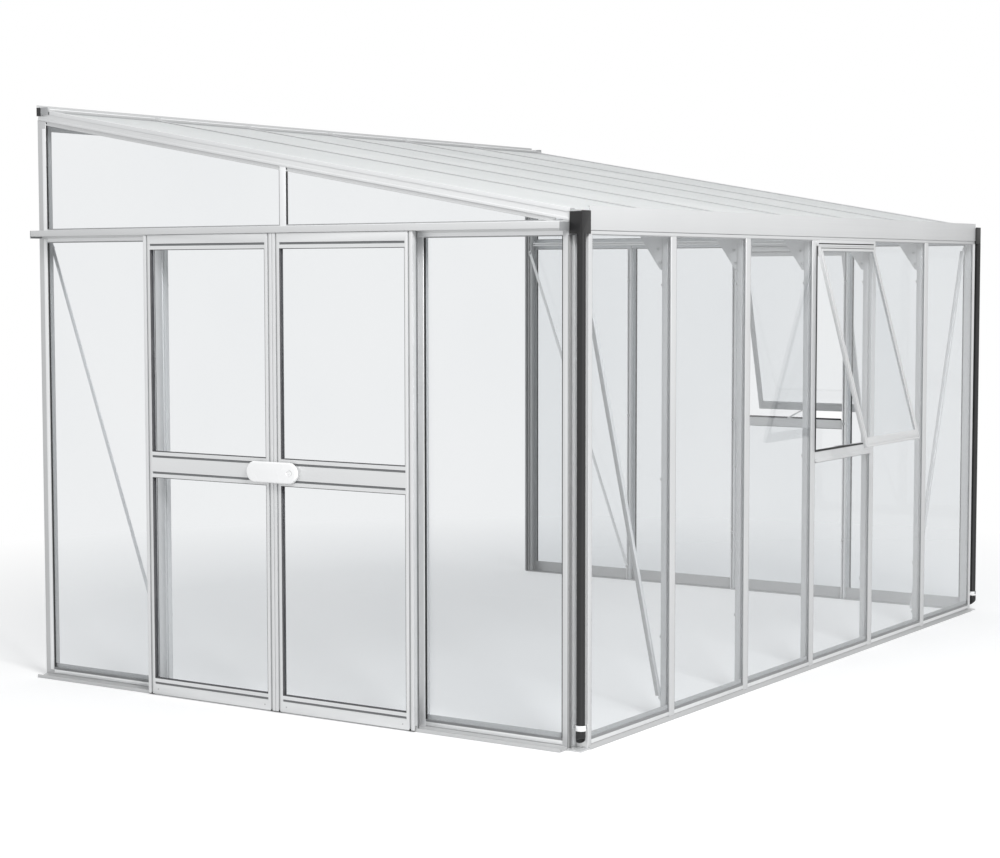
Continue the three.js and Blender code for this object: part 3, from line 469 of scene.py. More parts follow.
# Besides real rubber and plastic parts, these colours dress strips that paint shade in grooves, gaps and
# along sills and seals.
PLASTICS = (
    MouldedPlastic("black_pvc", (0.009, 0.009, 0.0095), (0.006, 0.006, 0.0065), 0.46, 0.56),
    MouldedPlastic("black_rubber_and_shade", (0.030, 0.030, 0.031), (0.022, 0.022, 0.023), 0.6, 0.75),
    MouldedPlastic("grey_plastic_and_shade", (0.30, 0.305, 0.31), (0.25, 0.255, 0.26), 0.4, 0.5),
    MouldedPlastic("white_nylon", (0.99, 0.99, 0.99), (0.97, 0.97, 0.97), 0.22, 0.3, grain=0.00002, coat=0.3),
    MouldedPlastic("grey_seal_and_shade", (0.22, 0.225, 0.23), (0.17, 0.175, 0.18), 0.55, 0.7),
    MouldedPlastic("pale_seal_and_shade", (0.42, 0.425, 0.43), (0.37, 0.375, 0.38), 0.5, 0.65),
    MouldedPlastic("grey_brush", (0.13, 0.13, 0.135), (0.09, 0.09, 0.095), 0.85, 0.95, grain=0.0003),
)


@dataclass
class Finishes:
    """Every material of the greenhouse, each built once."""

    group: bpy.types.NodeTree = field(default_factory=die_line_group)
    made: dict[str, bpy.types.Material] = field(default_factory=dict)

    def __post_init__(self) -> None:
        """Builds the glass, the sheet, the fasteners' zinc and the plastics."""
        zinc = DrawnAluminium("zinc_fastener", Way.UPRIGHT, 0.50, metallic=0.7, smooth=0.28, rough=0.40)
        for finish in (zinc, ClearGlass(), TwinWallSheet(), *PLASTICS):
            self._add(finish)

    def _add(self, finish: DrawnAluminium | MouldedPlastic | ClearGlass | TwinWallSheet) -> None:
        """Builds one material and keeps it under its name."""
        self.made[finish.name] = finish.material(self.group)

    def __getitem__(self, name: str) -> bpy.types.Material:
        """Gives a material by name."""
        return self.made[name]

    def drawn(self, way: Way, tone: PaintedLight) -> bpy.types.Material:
        """Gives the aluminium of one direction and painted tone of light and shade, built when it is first
        asked for.

        Args:
            way: direction that it is drawn in.
            tone: its painted light and shade.

        Returns:
            The material.
        """
        name = f"aluminium_{way.name.lower()}_{tone.name.lower()}"
        if name not in self.made:
            self._add(DrawnAluminium(name, way, tone.value))
        return self.made[name]


class Bench:
    """Modelling by operators, with everything deselected first."""

    @staticmethod
    def clear() -> None:
        """Leaves edit mode and deselects every object."""
        if bpy.context.mode != "OBJECT":
            bpy.ops.object.mode_set(mode="OBJECT")
        bpy.ops.object.select_all(action="DESELECT")

    @staticmethod
    def pick(*pieces: bpy.types.Object) -> None:
        """Selects pieces, with the first one active.

        Args:
            pieces: the pieces.
        """
        Bench.clear()
        for piece in pieces:
            piece.select_set(True)
        bpy.context.view_layer.objects.active = pieces[0]

    @staticmethod
    def settle(piece: bpy.types.Object) -> bpy.types.Object:
        """Applies a piece's place, turn and scale to its mesh.

        Args:
            piece: the piece.

        Returns:
            The piece.
        """
        Bench.pick(piece)
        bpy.ops.object.transform_apply(location=True, rotation=True, scale=True)
        return piece

    @staticmethod
    def block(name: str, low: Sequence[float], high: Sequence[float]) -> bpy.types.Object:
        """Adds a block between two corners.

        Args:
            name: name of the piece.
            low: one corner.
            high: the opposite corner.

        Returns:
            The settled piece.
        """
        near = Vector([min(pair) for pair in zip(low, high)])
        far = Vector([max(pair) for pair in zip(low, high)])
        Bench.clear()
        bpy.ops.mesh.primitive_cube_add(size=1.0, location=(near + far) / 2)
        piece = bpy.context.active_object
        piece.name = name
        piece.scale = far - near
        return Bench.settle(piece)

    @staticmethod
    def rod(
        name: str, start: Sequence[float], end: Sequence[float], radius: float, sides: int
    ) -> bpy.types.Object:
        """Adds a round bar between two points.

        Args:
            name: name of the piece.
            start: centre of one end.
            end: centre of the other end.
            radius: radius of the bar.
            sides: number of sides.

        Returns:
            The settled piece.
        """
        first, last = Vector(start), Vector(end)
        turn = Vector((0, 0, 1)).rotation_difference((last - first).normalized())
        Bench.clear()
        bpy.ops.mesh.primitive_cylinder_add(
            vertices=sides, radius=radius, depth=(last - first).length, location=(first + last) / 2
        )
        piece = bpy.context.active_object
        piece.name = name
        piece.rotation_mode = "QUATERNION"
        piece.rotation_quaternion = turn
        return Bench.settle(piece)

    @staticmethod
    def turn(piece: bpy.types.Object, facing: Facing) -> bpy.types.Object:
        """Turns a piece made upright at the origin to face a direction.

        Args:
            piece: the piece.
            facing: the direction.

        Returns:
            The piece.
        """
        piece.rotation_mode = "QUATERNION"
        piece.rotation_quaternion = Vector((0, 0, 1)).rotation_difference(Vector(facing.value))
        return Bench.settle(piece)

    @staticmethod
    def tilt(
        piece: bpy.types.Object, pivot: Sequence[float], degrees: float, axis: str = "X"
    ) -> bpy.types.Object:
        """Turns a piece about a level line, by default one along the eaves.

        Args:
            piece: the piece.
            pivot: a point of the line.
            degrees: how far the piece turns.
            axis: axis of the frame that the line runs along.

        Returns:
            The piece.
        """
        about = Matrix.Translation(Vector(pivot))
        piece.matrix_world = about @ Matrix.Rotation(math.radians(degrees), 4, axis) @ about.inverted()
        return Bench.settle(piece)

    @staticmethod
    def modify(piece: bpy.types.Object, kind: str, **values: object) -> None:
        """Adds a modifier with its values and applies it.

        Args:
            piece: the piece.
            kind: kind of modifier.
            values: its settings by name.
        """
        modifier = piece.modifiers.new(kind.lower(), kind)
        for key, value in values.items():
            setattr(modifier, key, value)
        Bench.pick(piece)
        bpy.ops.object.modifier_apply(modifier=modifier.name)

    @staticmethod
    def ease(
        piece: bpy.types.Object, width: float, segments: int = 2, angle: float = 30.0
    ) -> bpy.types.Object:
        """Rounds the edges of a piece.

        Args:
            piece: the piece.
            width: width of the rounding.
            segments: steps in it.
            angle: least angle in degrees between the faces of an edge that is rounded.

        Returns:
            The piece.
        """
        Bench.modify(
            piece,
            "BEVEL",
            width=width,
            segments=segments,
            limit_method="ANGLE",
            angle_limit=math.radians(angle),
            harden_normals=False,
        )
        return Bench.smooth(piece)

    @staticmethod
    def smooth(piece: bpy.types.Object, degrees: float = SMOOTH_DEGREES) -> bpy.types.Object:
        """Shades a piece smooth, apart from its sharp edges.

        Args:
            piece: the piece.
            degrees: least angle of an edge that stays sharp.

        Returns:
            The piece.
        """
        Bench.pick(piece)
        bpy.ops.object.shade_smooth_by_angle(angle=math.radians(degrees))
        return piece

    @staticmethod
    def carve(piece: bpy.types.Object, *tools: bpy.types.Object) -> bpy.types.Object:
        """Cuts tools out of a piece and deletes them.

        Args:
            piece: the piece.
            tools: the shapes to cut out.

        Returns:
            The piece.
        """
        for tool in tools:
            Bench.modify(piece, "BOOLEAN", operation="DIFFERENCE", object=tool, solver="EXACT")
            bpy.data.objects.remove(tool)
        return piece

    @staticmethod
    def unite(name: str, pieces: Iterable[bpy.types.Object]) -> bpy.types.Object:
        """Joins pieces into one object.

        Args:
            name: name of the whole.
            pieces: the pieces.

        Returns:
            The joined object.
        """
        parts = list(pieces)
        Bench.pick(*parts)
        if len(parts) > 1:
            bpy.ops.object.join()
        parts[0].name = name
        return parts[0]

    @staticmethod
    def stamp(name: str, pattern: bpy.types.Object, places: Iterable[Sequence[float]]) -> bpy.types.Object:
        """Copies a piece made at the origin to several places, each with its own mesh, and joins them.

        Args:
            name: name of the whole.
            pattern: the piece to copy, which is used up.
            places: where the copies go.

        Returns:
            The joined object.
        """
        copies = []
        for place in places:
            twin = pattern.copy()
            twin.data = pattern.data.copy()
            twin.data.transform(Matrix.Translation(Vector(place)))
            bpy.context.scene.collection.objects.link(twin)
            copies.append(twin)
        bpy.data.objects.remove(pattern)
        return Bench.unite(name, copies)


def dress(
    piece: bpy.types.Object,
    body: str,
    material: bpy.types.Material,
    replaces: Sequence[str] = (),
) -> bpy.types.Object:
    """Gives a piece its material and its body.

    Args:
        piece: the piece.
        body: name of the body that it rides on.
        material: its material.
        replaces: names of the solids that it stands for.

    Returns:
        The piece.
    """
    piece.data.materials.clear()
    piece.data.materials.append(material)
    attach(piece, body)
    if replaces:
        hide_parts(*replaces)
    LOG.info("%s rides on %s", piece.name, body)
    return piece


def corners(node: str) -> tuple[Vector, Vector]:
    """Gives the lowest and highest corner of a solid at rest.

    Args:
        node: name of the solid.

    Returns:
        The two corners.
    """
    low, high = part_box(node)
    return Vector(low), Vector(high)


class Wall(Enum):
    """Glazed wall of the greenhouse."""

    EAVES = "eaves"
    DOOR_GABLE = "door_gable"
    FAR_GABLE = "far_gable"

    @property
    def inner(self) -> Facing:
        """Direction from the wall into the greenhouse."""
        return {Wall.EAVES: Facing.WALL, Wall.DOOR_GABLE: Facing.FAR_GABLE}.get(self, Facing.DOOR_GABLE)


GABLES = (Wall.DOOR_GABLE, Wall.FAR_GABLE)
LEAVES = ("wall_side", "eaves_side")


@dataclass(frozen=True)
class Opening:
    """Clear opening of a pane, along its wall and in height."""

    start: float
    end: float
    low: float
    high: float


@dataclass(frozen=True)
class Window:
    """Bay with a top-hung window, the top of the window's head and the body of its sash."""

    wall: Wall
    bay: int
    head: float
    body: str


WINDOWS = (
    Window(Wall.EAVES, 3, 1.8257, "eaves_window"),
    Window(Wall.FAR_GABLE, 1, 1.8227, "far_window"),
)


@dataclass
class Plan:
    """Lines and faces of the greenhouse, read from its solids, with the pitches of its bays."""

    door_face: float = field(default_factory=lambda: corners("door_jamb_eaves_side")[0].x)
    far_face: float = field(default_factory=lambda: corners("far_gable_post_1")[1].x)
    eaves_face: float = field(default_factory=lambda: corners("eaves_post_1")[0].y)
    corner_line: float = 0.055
    eaves_bay: float = 0.620
    gable_bay: float = 0.636
    eaves_bays: int = 6
    gable_bays: int = 4
    doorway: tuple[int, ...] = (1, 2)
    cap_half: float = 0.020
    corner_flange: float = 0.075
    wall_cap: float = 0.021
    pane_foot: float = 0.0363
    beam_under: float = 1.826
    rail_under: float = 1.823
    rail_top: float = 1.873
    window_sill: float = 0.883
    rafter_foot: float = 1.8645
    roof_degrees: float = 10.0
    leaf_bite: float = 0.007
    leaf_mid_rail: Span = (0.881, 0.983)

    @property
    def length(self) -> float:
        """Length between the outer faces of the gables."""
        return self.far_face - self.door_face

    @property
    def wall_edge(self) -> float:
        """Place along a gable where the glass ends at the wall post."""
        return self.line(Wall.DOOR_GABLE, self.gable_bays) - self.wall_cap

    def bays(self, wall: Wall) -> int:
        """Gives the number of bays of a wall."""
        return self.eaves_bays if wall is Wall.EAVES else self.gable_bays

    def line(self, wall: Wall, index: int) -> float:
        """Gives the middle of a post along its wall."""
        return self.corner_line + index * (self.eaves_bay if wall is Wall.EAVES else self.gable_bay)

    def posts(self, wall: Wall) -> list[float]:
        """Lists the middles of the posts between the two ends of a wall.

        Args:
            wall: the wall.

        Returns:
            Their places along the wall.
        """
        doorway = set(self.doorway) if wall is Wall.DOOR_GABLE else set()
        inner = range(1, self.bays(wall))
        return [self.line(wall, index) for index in inner if not {index - 1, index} <= doorway]

    def rafter_under(self, y: float) -> float:
        """Gives the height of the underside of the rafters at a place towards the wall."""
        return self.rafter_foot + math.tan(math.radians(self.roof_degrees)) * y

    def leaf_levels(self, side: str) -> tuple[float, float, float, float]:
        """Gives the lower and upper edge of both openings of a leaf, from the foot up."""
        low, high = corners(f"door_glass_{side}")
        return (low.z + self.leaf_bite, *self.leaf_mid_rail, high.z - self.leaf_bite)

    def spot(self, wall: Wall, along: float, inward: float, z: float) -> Vector:
        """Turns a place measured on a wall into one in the frame.

        Args:
            wall: the wall.
            along: distance along it, from the door gable or from the eaves.
            inward: distance behind its outer face.
            z: height.

        Returns:
            The place.
        """
        if wall is Wall.EAVES:
            return Vector((self.door_face + along, self.eaves_face + inward, z))
        x = self.door_face + inward if wall is Wall.DOOR_GABLE else self.far_face - inward
        return Vector((x, self.eaves_face + along, z))

    def block(self, name: str, wall: Wall, along: Span, inward: Span, height: Span) -> bpy.types.Object:
        """Adds a block measured on a wall.

        Args:
            name: name of the piece.
            wall: the wall.
            along: its two ends along the wall.
            inward: its front and back behind the wall's face.
            height: its foot and top.

        Returns:
            The block.
        """
        low = self.spot(wall, along[0], inward[0], height[0])
        high = self.spot(wall, along[1], inward[1], height[1])
        return Bench.block(name, low, high)

    def rim(self, wall: Wall, opening: Opening, inward: Span, width: float) -> bpy.types.Object:
        """Adds a rim of four strips just inside an opening.

        Args:
            wall: wall that the opening is in.
            opening: the opening.
            inward: front and back of the strips.
            width: width of the strips.

        Returns:
            The rim.
        """
        across = (opening.start, opening.end)
        upright = (opening.low + width, opening.high - width)
        strips = [
            self.block("rim", wall, across, inward, (opening.low, opening.low + width)),
            self.block("rim", wall, across, inward, (opening.high - width, opening.high)),
            self.block("rim", wall, (opening.start, opening.start + width), inward, upright),
            self.block("rim", wall, (opening.end - width, opening.end), inward, upright),
        ]
        return Bench.unite("rim", strips)

    def openings(self, wall: Wall) -> list[Opening]:
        """Lists the openings of a wall's fixed panes under the beam or rail.

        Args:
            wall: the wall.

        Returns:
            The openings, bay by bay.
        """
        eaves = wall is Wall.EAVES
        last = self.bays(wall) - 1
        window_bays = [window.bay for window in WINDOWS if window.wall is wall]
        doorway = self.doorway if wall is Wall.DOOR_GABLE else ()
        top = self.beam_under if eaves else self.rail_under
        found = []
        for bay in range(last + 1):
            if bay in doorway:
                continue
            start = self.corner_flange if bay == 0 else self.line(wall, bay) + self.cap_half
            end = self.line(wall, bay + 1) - self.cap_half
            if bay == last:
                end = self.length - self.corner_flange if eaves else self.wall_edge
            high = self.window_sill if bay in window_bays else top
            found.append(Opening(start, end, self.pane_foot, high))
        return found


@dataclass
class Maker:
    """Maker of one set of pieces, with the finishes and the plan at hand."""

    finishes: Finishes
    plan: Plan

    def drawn(
        self,
        name: str,
        pieces: Sequence[bpy.types.Object],
        way: Way,
        tone: PaintedLight,
        easing: float,
        segments: int = 2,
    ) -> None:
        """Joins and eases pieces of the frame and dresses them as drawn aluminium.

        Args:
            name: name of the whole.
            pieces: the pieces.
            way: direction that they are drawn in.
            tone: their painted light and shade.
            easing: width of the rounding of their edges.
            segments: steps in it.
        """
        whole = Bench.ease(Bench.unite(name, pieces), easing, segments)
        dress(whole, FRAME_BODY, self.finishes.drawn(way, tone))

    def moulded(
        self,
        name: str,
        pieces: Sequence[bpy.types.Object],
        finish: str,
        easing: float,
        body: str = FRAME_BODY,
        slot: str = BLACK_SLOT,
        segments: int = 2,
    ) -> None:
        """Joins and eases pieces and dresses them as moulded plastic or rubber.

        Args:
            name: name of the whole.
            pieces: the pieces.
            finish: name of their material.
            easing: width of the rounding of their edges.
            body: name of the body that they ride on.
            slot: not used.
            segments: steps in the rounding.
        """
        whole = Bench.ease(Bench.unite(name, pieces), easing, segments)
        dress(whole, body, self.finishes[finish])


@dataclass
class DrawnSections:
    """The aluminium bars, each an eased copy of its solid."""

    finishes: Finishes
    easing: float = 0.0006

    @staticmethod
    def way_of(node: str) -> Way:
        """Gives the direction that a bar is drawn in, from the longest side of its box.

        Args:
            node: name of the solid.

        Returns:
            The direction.
        """
        low, high = corners(node)
        size = high - low
        longest = max(range(3), key=lambda axis: size[axis])
        return (Way.ALONG_EAVES, Way.TO_WALL, Way.UPRIGHT)[longest]

    @staticmethod
    def tone_of(node: str) -> PaintedLight:
        """Gives the painted light and shade of a bar.

        Args:
            node: name of the solid.

        Returns:
            The tone of the first beginning that its name has.
        """
        # Sets of the same aluminium get paler or darker tones as painted light and shade: jambs, rails and
        # far gable posts painted lighter, sills, wall posts and sashes painted darker.
        tones = {
            "door_frame": PaintedLight.LEAF,
            "door_jamb": PaintedLight.JAMB,
            "gable_rail": PaintedLight.PALE,
            "brace": PaintedLight.PALE,
            "roof_bar": PaintedLight.FASCIA,
            "gutter": PaintedLight.FASCIA,
            "verge_rafter": PaintedLight.LEAF,
            "far_gable_post": PaintedLight.PALE,
            "eaves_post": PaintedLight.POST,
            "door_track": PaintedLight.TRACK,
            "corner_post": PaintedLight.CORNER_POST,
            "sill_door": PaintedLight.BASE,
            "wall_p": PaintedLight.BASE,
            "eaves_window_sash": PaintedLight.CORNER,
            "far_window_sash": PaintedLight.CORNER,
            "sill": PaintedLight.SHADE,
        }
        return next((tone for start, tone in tones.items() if node.startswith(start)), PaintedLight.FRAME)

    @staticmethod
    def eased(node: str, name: str, easing: float) -> bpy.types.Object:
        """Copies a solid, merges its faces and rounds its edges.

        Args:
            node: name of the solid.
            name: name of the copy.
            easing: width of the rounding.

        Returns:
            The copy.
        """
        copy = bpy.data.objects.new(name, frame["nodes"][node].data.copy())
        bpy.context.scene.collection.objects.link(copy)
        Bench.pick(copy)
        bpy.ops.object.mode_set(mode="EDIT")
        bpy.ops.mesh.select_all(action="SELECT")
        bpy.ops.mesh.remove_doubles(threshold=MERGE_DISTANCE)
        bpy.ops.mesh.dissolve_limited(angle_limit=math.radians(FLAT_DEGREES))
        bpy.ops.object.mode_set(mode="OBJECT")
        return Bench.ease(copy, easing)

    def build(self) -> None:
        """Builds every bar."""
        record = frame["record"]
        slots = {entry["node"]: entry["material_slot"] for entry in record["subparts"]}
        bodies = record["behaviour"]["bodies"]
        for body, nodes in bodies.items():
            for node in nodes:
                if slots[node] != ALUMINIUM_SLOT:
                    continue
                piece = self.eased(node, f"{node}_section", self.easing)
                material = self.finishes.drawn(self.way_of(node), self.tone_of(node))
                dress(piece, body, material, [node])


@dataclass
class Glazing:
    """Panes and roof sheets, which keep the shape of their solids."""

    finishes: Finishes

    def build(self) -> None:
        """Gives the panes and sheets their materials."""
        by_slot = {GLASS_SLOT: "clear_glass", SHEET_SLOT: "twinwall_sheet"}
        for entry in frame["record"]["subparts"]:
            if entry["material_slot"] not in by_slot:
                continue
            material = self.finishes[by_slot[entry["material_slot"]]]
            solid = frame["nodes"][entry["node"]]
            if not solid.material_slots:
                solid.data.materials.append(material)
            for held in solid.material_slots:
                held.link = "OBJECT"
                held.material = material
            LOG.info("%s is glazed", entry["node"])


@dataclass
class Seals(Maker):
    """Rubber strips beside the caps, sills, rails and leaf beads, some of them widened and darkened as
    painted shade.
    """

    width: float = 0.0042
    wide: float = 0.0080
    inward: Span = (0.0016, 0.0042)
    easing: float = 0.0005
    mullion_half: float = 0.015
    rafter_gap: float = 0.004
    verge_start: float = 0.030
    verge_seal_and_shade: Span = (0.0095, 0.0001)
    verge_bead: Span = (0.0160, 0.0095)
    verge_bead_depth: Span = (0.0010, 0.0043)
    verge_bead_easing: float = 0.0009
    leaf_width: float = 0.0024
    leaf_front: float = -0.0612
    leaf_back: float = -0.0392
    brush_depth: Span = (-0.0400, -0.0300)
    brush_width: Span = (-0.0008, 0.0042)
    brush_foot: float = 0.056
    brush_head: float = 0.050

    def build(self) -> None:
        """Builds the strips of every wall and leaf."""
        for wall in Wall:
            self._panes(wall)
        for wall in GABLES:
            self._upper(wall)
            self._verge(wall)
        for side in LEAVES:
            self._leaf(side)
            self._brush(side)

    def _strip(self, wall: Wall, along: Span, height: Span) -> bpy.types.Object:
        """Adds a strip in front of the glass of a wall."""
        return self.plan.block("strip", wall, along, self.inward, height)

    def _panes(self, wall: Wall) -> None:
        """Adds the strips beside, under and over the fixed panes of a wall.

        Args:
            wall: the wall.
        """
        gable = wall is not Wall.EAVES
        far_width = self.wide if gable else self.width
        sides, feet, heads = [], [], []
        for pane in self.plan.openings(wall):
            upright = (pane.low + self.width, pane.high - self.width)
            across = (pane.start, pane.end)
            sides.append(self._strip(wall, (pane.start, pane.start + self.width), upright))
            sides.append(self._strip(wall, (pane.end - far_width, pane.end), upright))
            feet.append(self._strip(wall, across, (pane.low, pane.low + self.width)))
            heads.append(self._strip(wall, across, (pane.high - self.width, pane.high)))
        # Partly gaskets, partly painted shade: the gable side strips are black and wider at the far side,
        # painting the shaded gap and the post behind the glass. The eaves strips are paler. The foot strips
        # paint the shaded sill upstand behind the glass.
        side_finish = "black_rubber_and_shade" if gable else "pale_seal_and_shade"
        self.moulded(f"side_seals_{wall.value}", sides, side_finish, self.easing)
        self.moulded(f"foot_seals_{wall.value}", feet, "grey_plastic_and_shade", self.easing)
        self.moulded(f"head_seals_{wall.value}", heads, "pale_seal_and_shade", self.easing)

    def _upper(self, wall: Wall) -> None:
        """Adds the strips of a gable's top panes.

        Args:
            wall: the gable.
        """
        plan = self.plan
        middle = plan.line(wall, plan.gable_bays // 2)
        before, after = middle - self.mullion_half, middle + self.mullion_half
        level = (plan.rail_top, plan.rail_top + self.width)
        feet = [
            self._strip(wall, across, level)
            for across in ((plan.corner_flange, before), (after, plan.wall_edge))
        ]
        sides = []
        for edge, outer, width, strips in (
            (before, -1, self.wide, sides),
            (after, 1, self.width, feet),
            (plan.wall_edge, -1, self.wide, sides),
        ):
            height = (level[1], plan.rafter_under(edge) - self.rafter_gap)
            strips.append(self._strip(wall, (edge, edge + outer * width), height))
        # The wide black side strips are partly rubber and partly painted shade of the gaps beside the mullion
        # and the wall post.
        self.moulded(f"top_foot_seals_{wall.value}", feet, "pale_seal_and_shade", self.easing)
        self.moulded(f"top_side_seals_{wall.value}", sides, "black_rubber_and_shade", self.easing)

    def _verge(self, wall: Wall) -> None:
        """Adds the seal strip, darkened as painted shade, and the bead that follow the underside of a verge
        rafter.

        Args:
            wall: the gable.
        """
        plan = self.plan
        start = plan.corner_flange + self.verge_start
        run = (plan.wall_edge - start) / math.cos(math.radians(plan.roof_degrees))
        under = plan.rafter_under(start)
        pivot = plan.spot(wall, start, 0.0, under)
        # The seal strip is darker aluminium, partly a seal and partly painted shade along the underside of
        # the rafter.
        for kind, drops, depth, easing, tone in (
            ("seal", self.verge_seal_and_shade, self.inward, self.easing, PaintedLight.CORNER),
            ("bead", self.verge_bead, self.verge_bead_depth, self.verge_bead_easing, PaintedLight.POST),
        ):
            height = (under - drops[0], under - drops[1])
            strip = plan.block(kind, wall, (start, start + run), depth, height)
            Bench.tilt(strip, pivot, plan.roof_degrees)
            self.drawn(f"verge_{kind}_{wall.value}", [strip], Way.TO_WALL, tone, easing)

    def _leaf(self, side: str) -> None:
        """Adds the strips that line the two openings of a door leaf.

        Args:
            side: side of the doorway that the leaf closes.
        """
        plan = self.plan
        low, high = corners(f"door_glass_{side}")
        start = low.y - plan.eaves_face + plan.leaf_bite
        end = high.y - plan.eaves_face - plan.leaf_bite
        foot, mid_foot, mid_head, head = plan.leaf_levels(side)
        pane = (low.x - plan.door_face, high.x - plan.door_face)
        rims = [
            plan.rim(Wall.DOOR_GABLE, Opening(start, end, *height), layer, self.leaf_width)
            for height in ((foot, mid_foot), (mid_head, head))
            for layer in ((self.leaf_front, pane[0]), (pane[1], self.leaf_back))
        ]
        self.moulded(f"leaf_seals_{side}", rims, "grey_brush", self.easing, f"door_{side}")

    def _brush(self, side: str) -> None:
        """Adds the brush on the free edge of a door leaf.

        Args:
            side: side of the doorway that the leaf closes.
        """
        plan = self.plan
        low, high = corners(f"door_glass_{side}")
        edge = corners(f"door_frame_{side}")[0].y - plan.eaves_face
        along = (edge + self.brush_width[0], edge + self.brush_width[1])
        height = (low.z - self.brush_foot, high.z + self.brush_head)
        # The brush is partly the real brush and partly painted shade of the gap between the leaf and the
        # jamb.
        brush = plan.block("brush", Wall.DOOR_GABLE, along, self.brush_depth, height)
        self.moulded(f"leaf_brush_{side}", [brush], "grey_seal_and_shade", self.easing, f"door_{side}")


@dataclass
class LeafGrooveShades(Maker):
    """Painted shade on the floors of the grooves round the plates of the door leaves: dark strips where the
    grooves lie in shade.
    """

    stile: Span = (0.0143, 0.0217)
    rail_end: float = 0.0352
    rail: Span = (0.0143, 0.0227)
    depth: Span = (-0.0588, -0.0579)
    foot: float = 0.0558
    head: float = 0.0498
    easing: float = 0.0003

    def build(self) -> None:
        """Builds the groove shade strips of both leaves."""
        for side in LEAVES:
            self._leaf(side)

    def _liner(self, along: Span, height: Span) -> bpy.types.Object:
        """Adds one shade strip."""
        return self.plan.block("liner", Wall.DOOR_GABLE, along, self.depth, height)

    def _leaf(self, side: str) -> None:
        """Adds the groove shade strips of a leaf.

        Args:
            side: side of the doorway that the leaf closes.
        """
        plan = self.plan
        glass_low, glass_high = corners(f"door_glass_{side}")
        start, end = (corner.y - plan.eaves_face for corner in corners(f"door_frame_{side}"))
        full = (glass_low.z - self.foot, glass_high.z + self.head)
        near, far = self.stile
        spans = ((start + near, start + far), (end - far, end - near))
        stiles = [self._liner(along, full) for along in spans]
        near, far = self.rail
        across = (start + self.rail_end, end - self.rail_end)
        rails = [
            self._liner(across, (level + outer * near, level + outer * far))
            for level, outer in zip(plan.leaf_levels(side), (-1, 1, -1, 1))
        ]
        # Painted shade: the strips darken the groove floors, paler on the stiles and darker on the rails.
        for name, pieces, finish in (("stile", stiles, "pale_seal_and_shade"), ("rail", rails, "grey_seal_and_shade")):
            self.moulded(f"{name}_liners_{side}", pieces, finish, self.easing, f"door_{side}")


@dataclass
class EdgeTrim(Maker):
    """Beads and seals over the sills, beads on the wall posts and the darker strip on the beam's lip, which
    paints the shade under the fascia.
    """

    sill_bead: Span = (0.0160, 0.0305)
    sill_bead_front: float = 0.0008
    sill_seal: Span = (0.0307, 0.0358)
    sill_seal_front: float = 0.0026
    sill_face: float = 0.0043
    bite: float = 0.0002
    lip: Span = (1.8262, 1.8375)
    lip_front: float = -0.0007
    post_bead: Span = (0.020, 0.002)
    post_bead_height: Span = (0.030, 2.29)
    post_bead_front: float = -0.0012
    bead_easing: float = 0.0009
    post_bead_easing: float = 0.0005
    strip_easing: float = 0.0003

    def build(self) -> None:
        """Builds the trim."""
        for wall in Wall:
            self._sill(wall)
        for wall in GABLES:
            self._wall_post(wall)
        self._beam_lip()

    def _sill_strips(self, wall: Wall, front: float, height: Span) -> list[bpy.types.Object]:
        """Adds a strip on the upright face of a sill in every fixed bay.

        Args:
            wall: the wall.
            front: front of the strips.
            height: their foot and top.

        Returns:
            The strips.
        """
        inward = (front, self.sill_face + self.bite)
        return [
            self.plan.block("strip", wall, (pane.start, pane.end), inward, height)
            for pane in self.plan.openings(wall)
        ]

    def _sill(self, wall: Wall) -> None:
        """Adds the beads and the seals of a sill.

        Args:
            wall: the wall.
        """
        eaves = wall is Wall.EAVES
        # The beads are drawn pale as painted light on the lit ledge of the sill. The grey strips over them
        # are partly seal and partly painted shade of the upstand behind the glass.
        way, tone = (Way.ALONG_EAVES, PaintedLight.LEAF) if eaves else (Way.TO_WALL, PaintedLight.PALE)
        beads = self._sill_strips(wall, self.sill_bead_front, self.sill_bead)
        self.drawn(f"sill_beads_{wall.value}", beads, way, tone, self.bead_easing)
        seals = self._sill_strips(wall, self.sill_seal_front, self.sill_seal)
        self.moulded(f"sill_seals_{wall.value}", seals, "grey_plastic_and_shade", self.strip_easing)

    def _wall_post(self, wall: Wall) -> None:
        """Adds the raised bead down the front of a wall post.

        Args:
            wall: the gable.
        """
        plan = self.plan
        line = plan.line(wall, plan.gable_bays)
        across = (line - self.post_bead[0], line - self.post_bead[1])
        foot, head = self.post_bead_height
        height = (foot, min(corners(f"wall_post_{wall.value}")[1].z, head))
        bead = plan.block("bead", wall, across, (self.post_bead_front, self.bite), height)
        self.drawn(f"wall_post_bead_{wall.value}", [bead], Way.UPRIGHT, PaintedLight.PALE, self.post_bead_easing)

    def _beam_lip(self) -> None:
        """Adds a darker strip along the lip of the eaves beam: painted shade under the fascia."""
        plan = self.plan
        across = (plan.corner_flange, plan.length - plan.corner_flange)
        strip = plan.block("lip", Wall.EAVES, across, (self.lip_front, self.bite), self.lip)
        self.drawn("beam_lip_shade", [strip], Way.ALONG_EAVES, PaintedLight.CORNER, self.strip_easing)


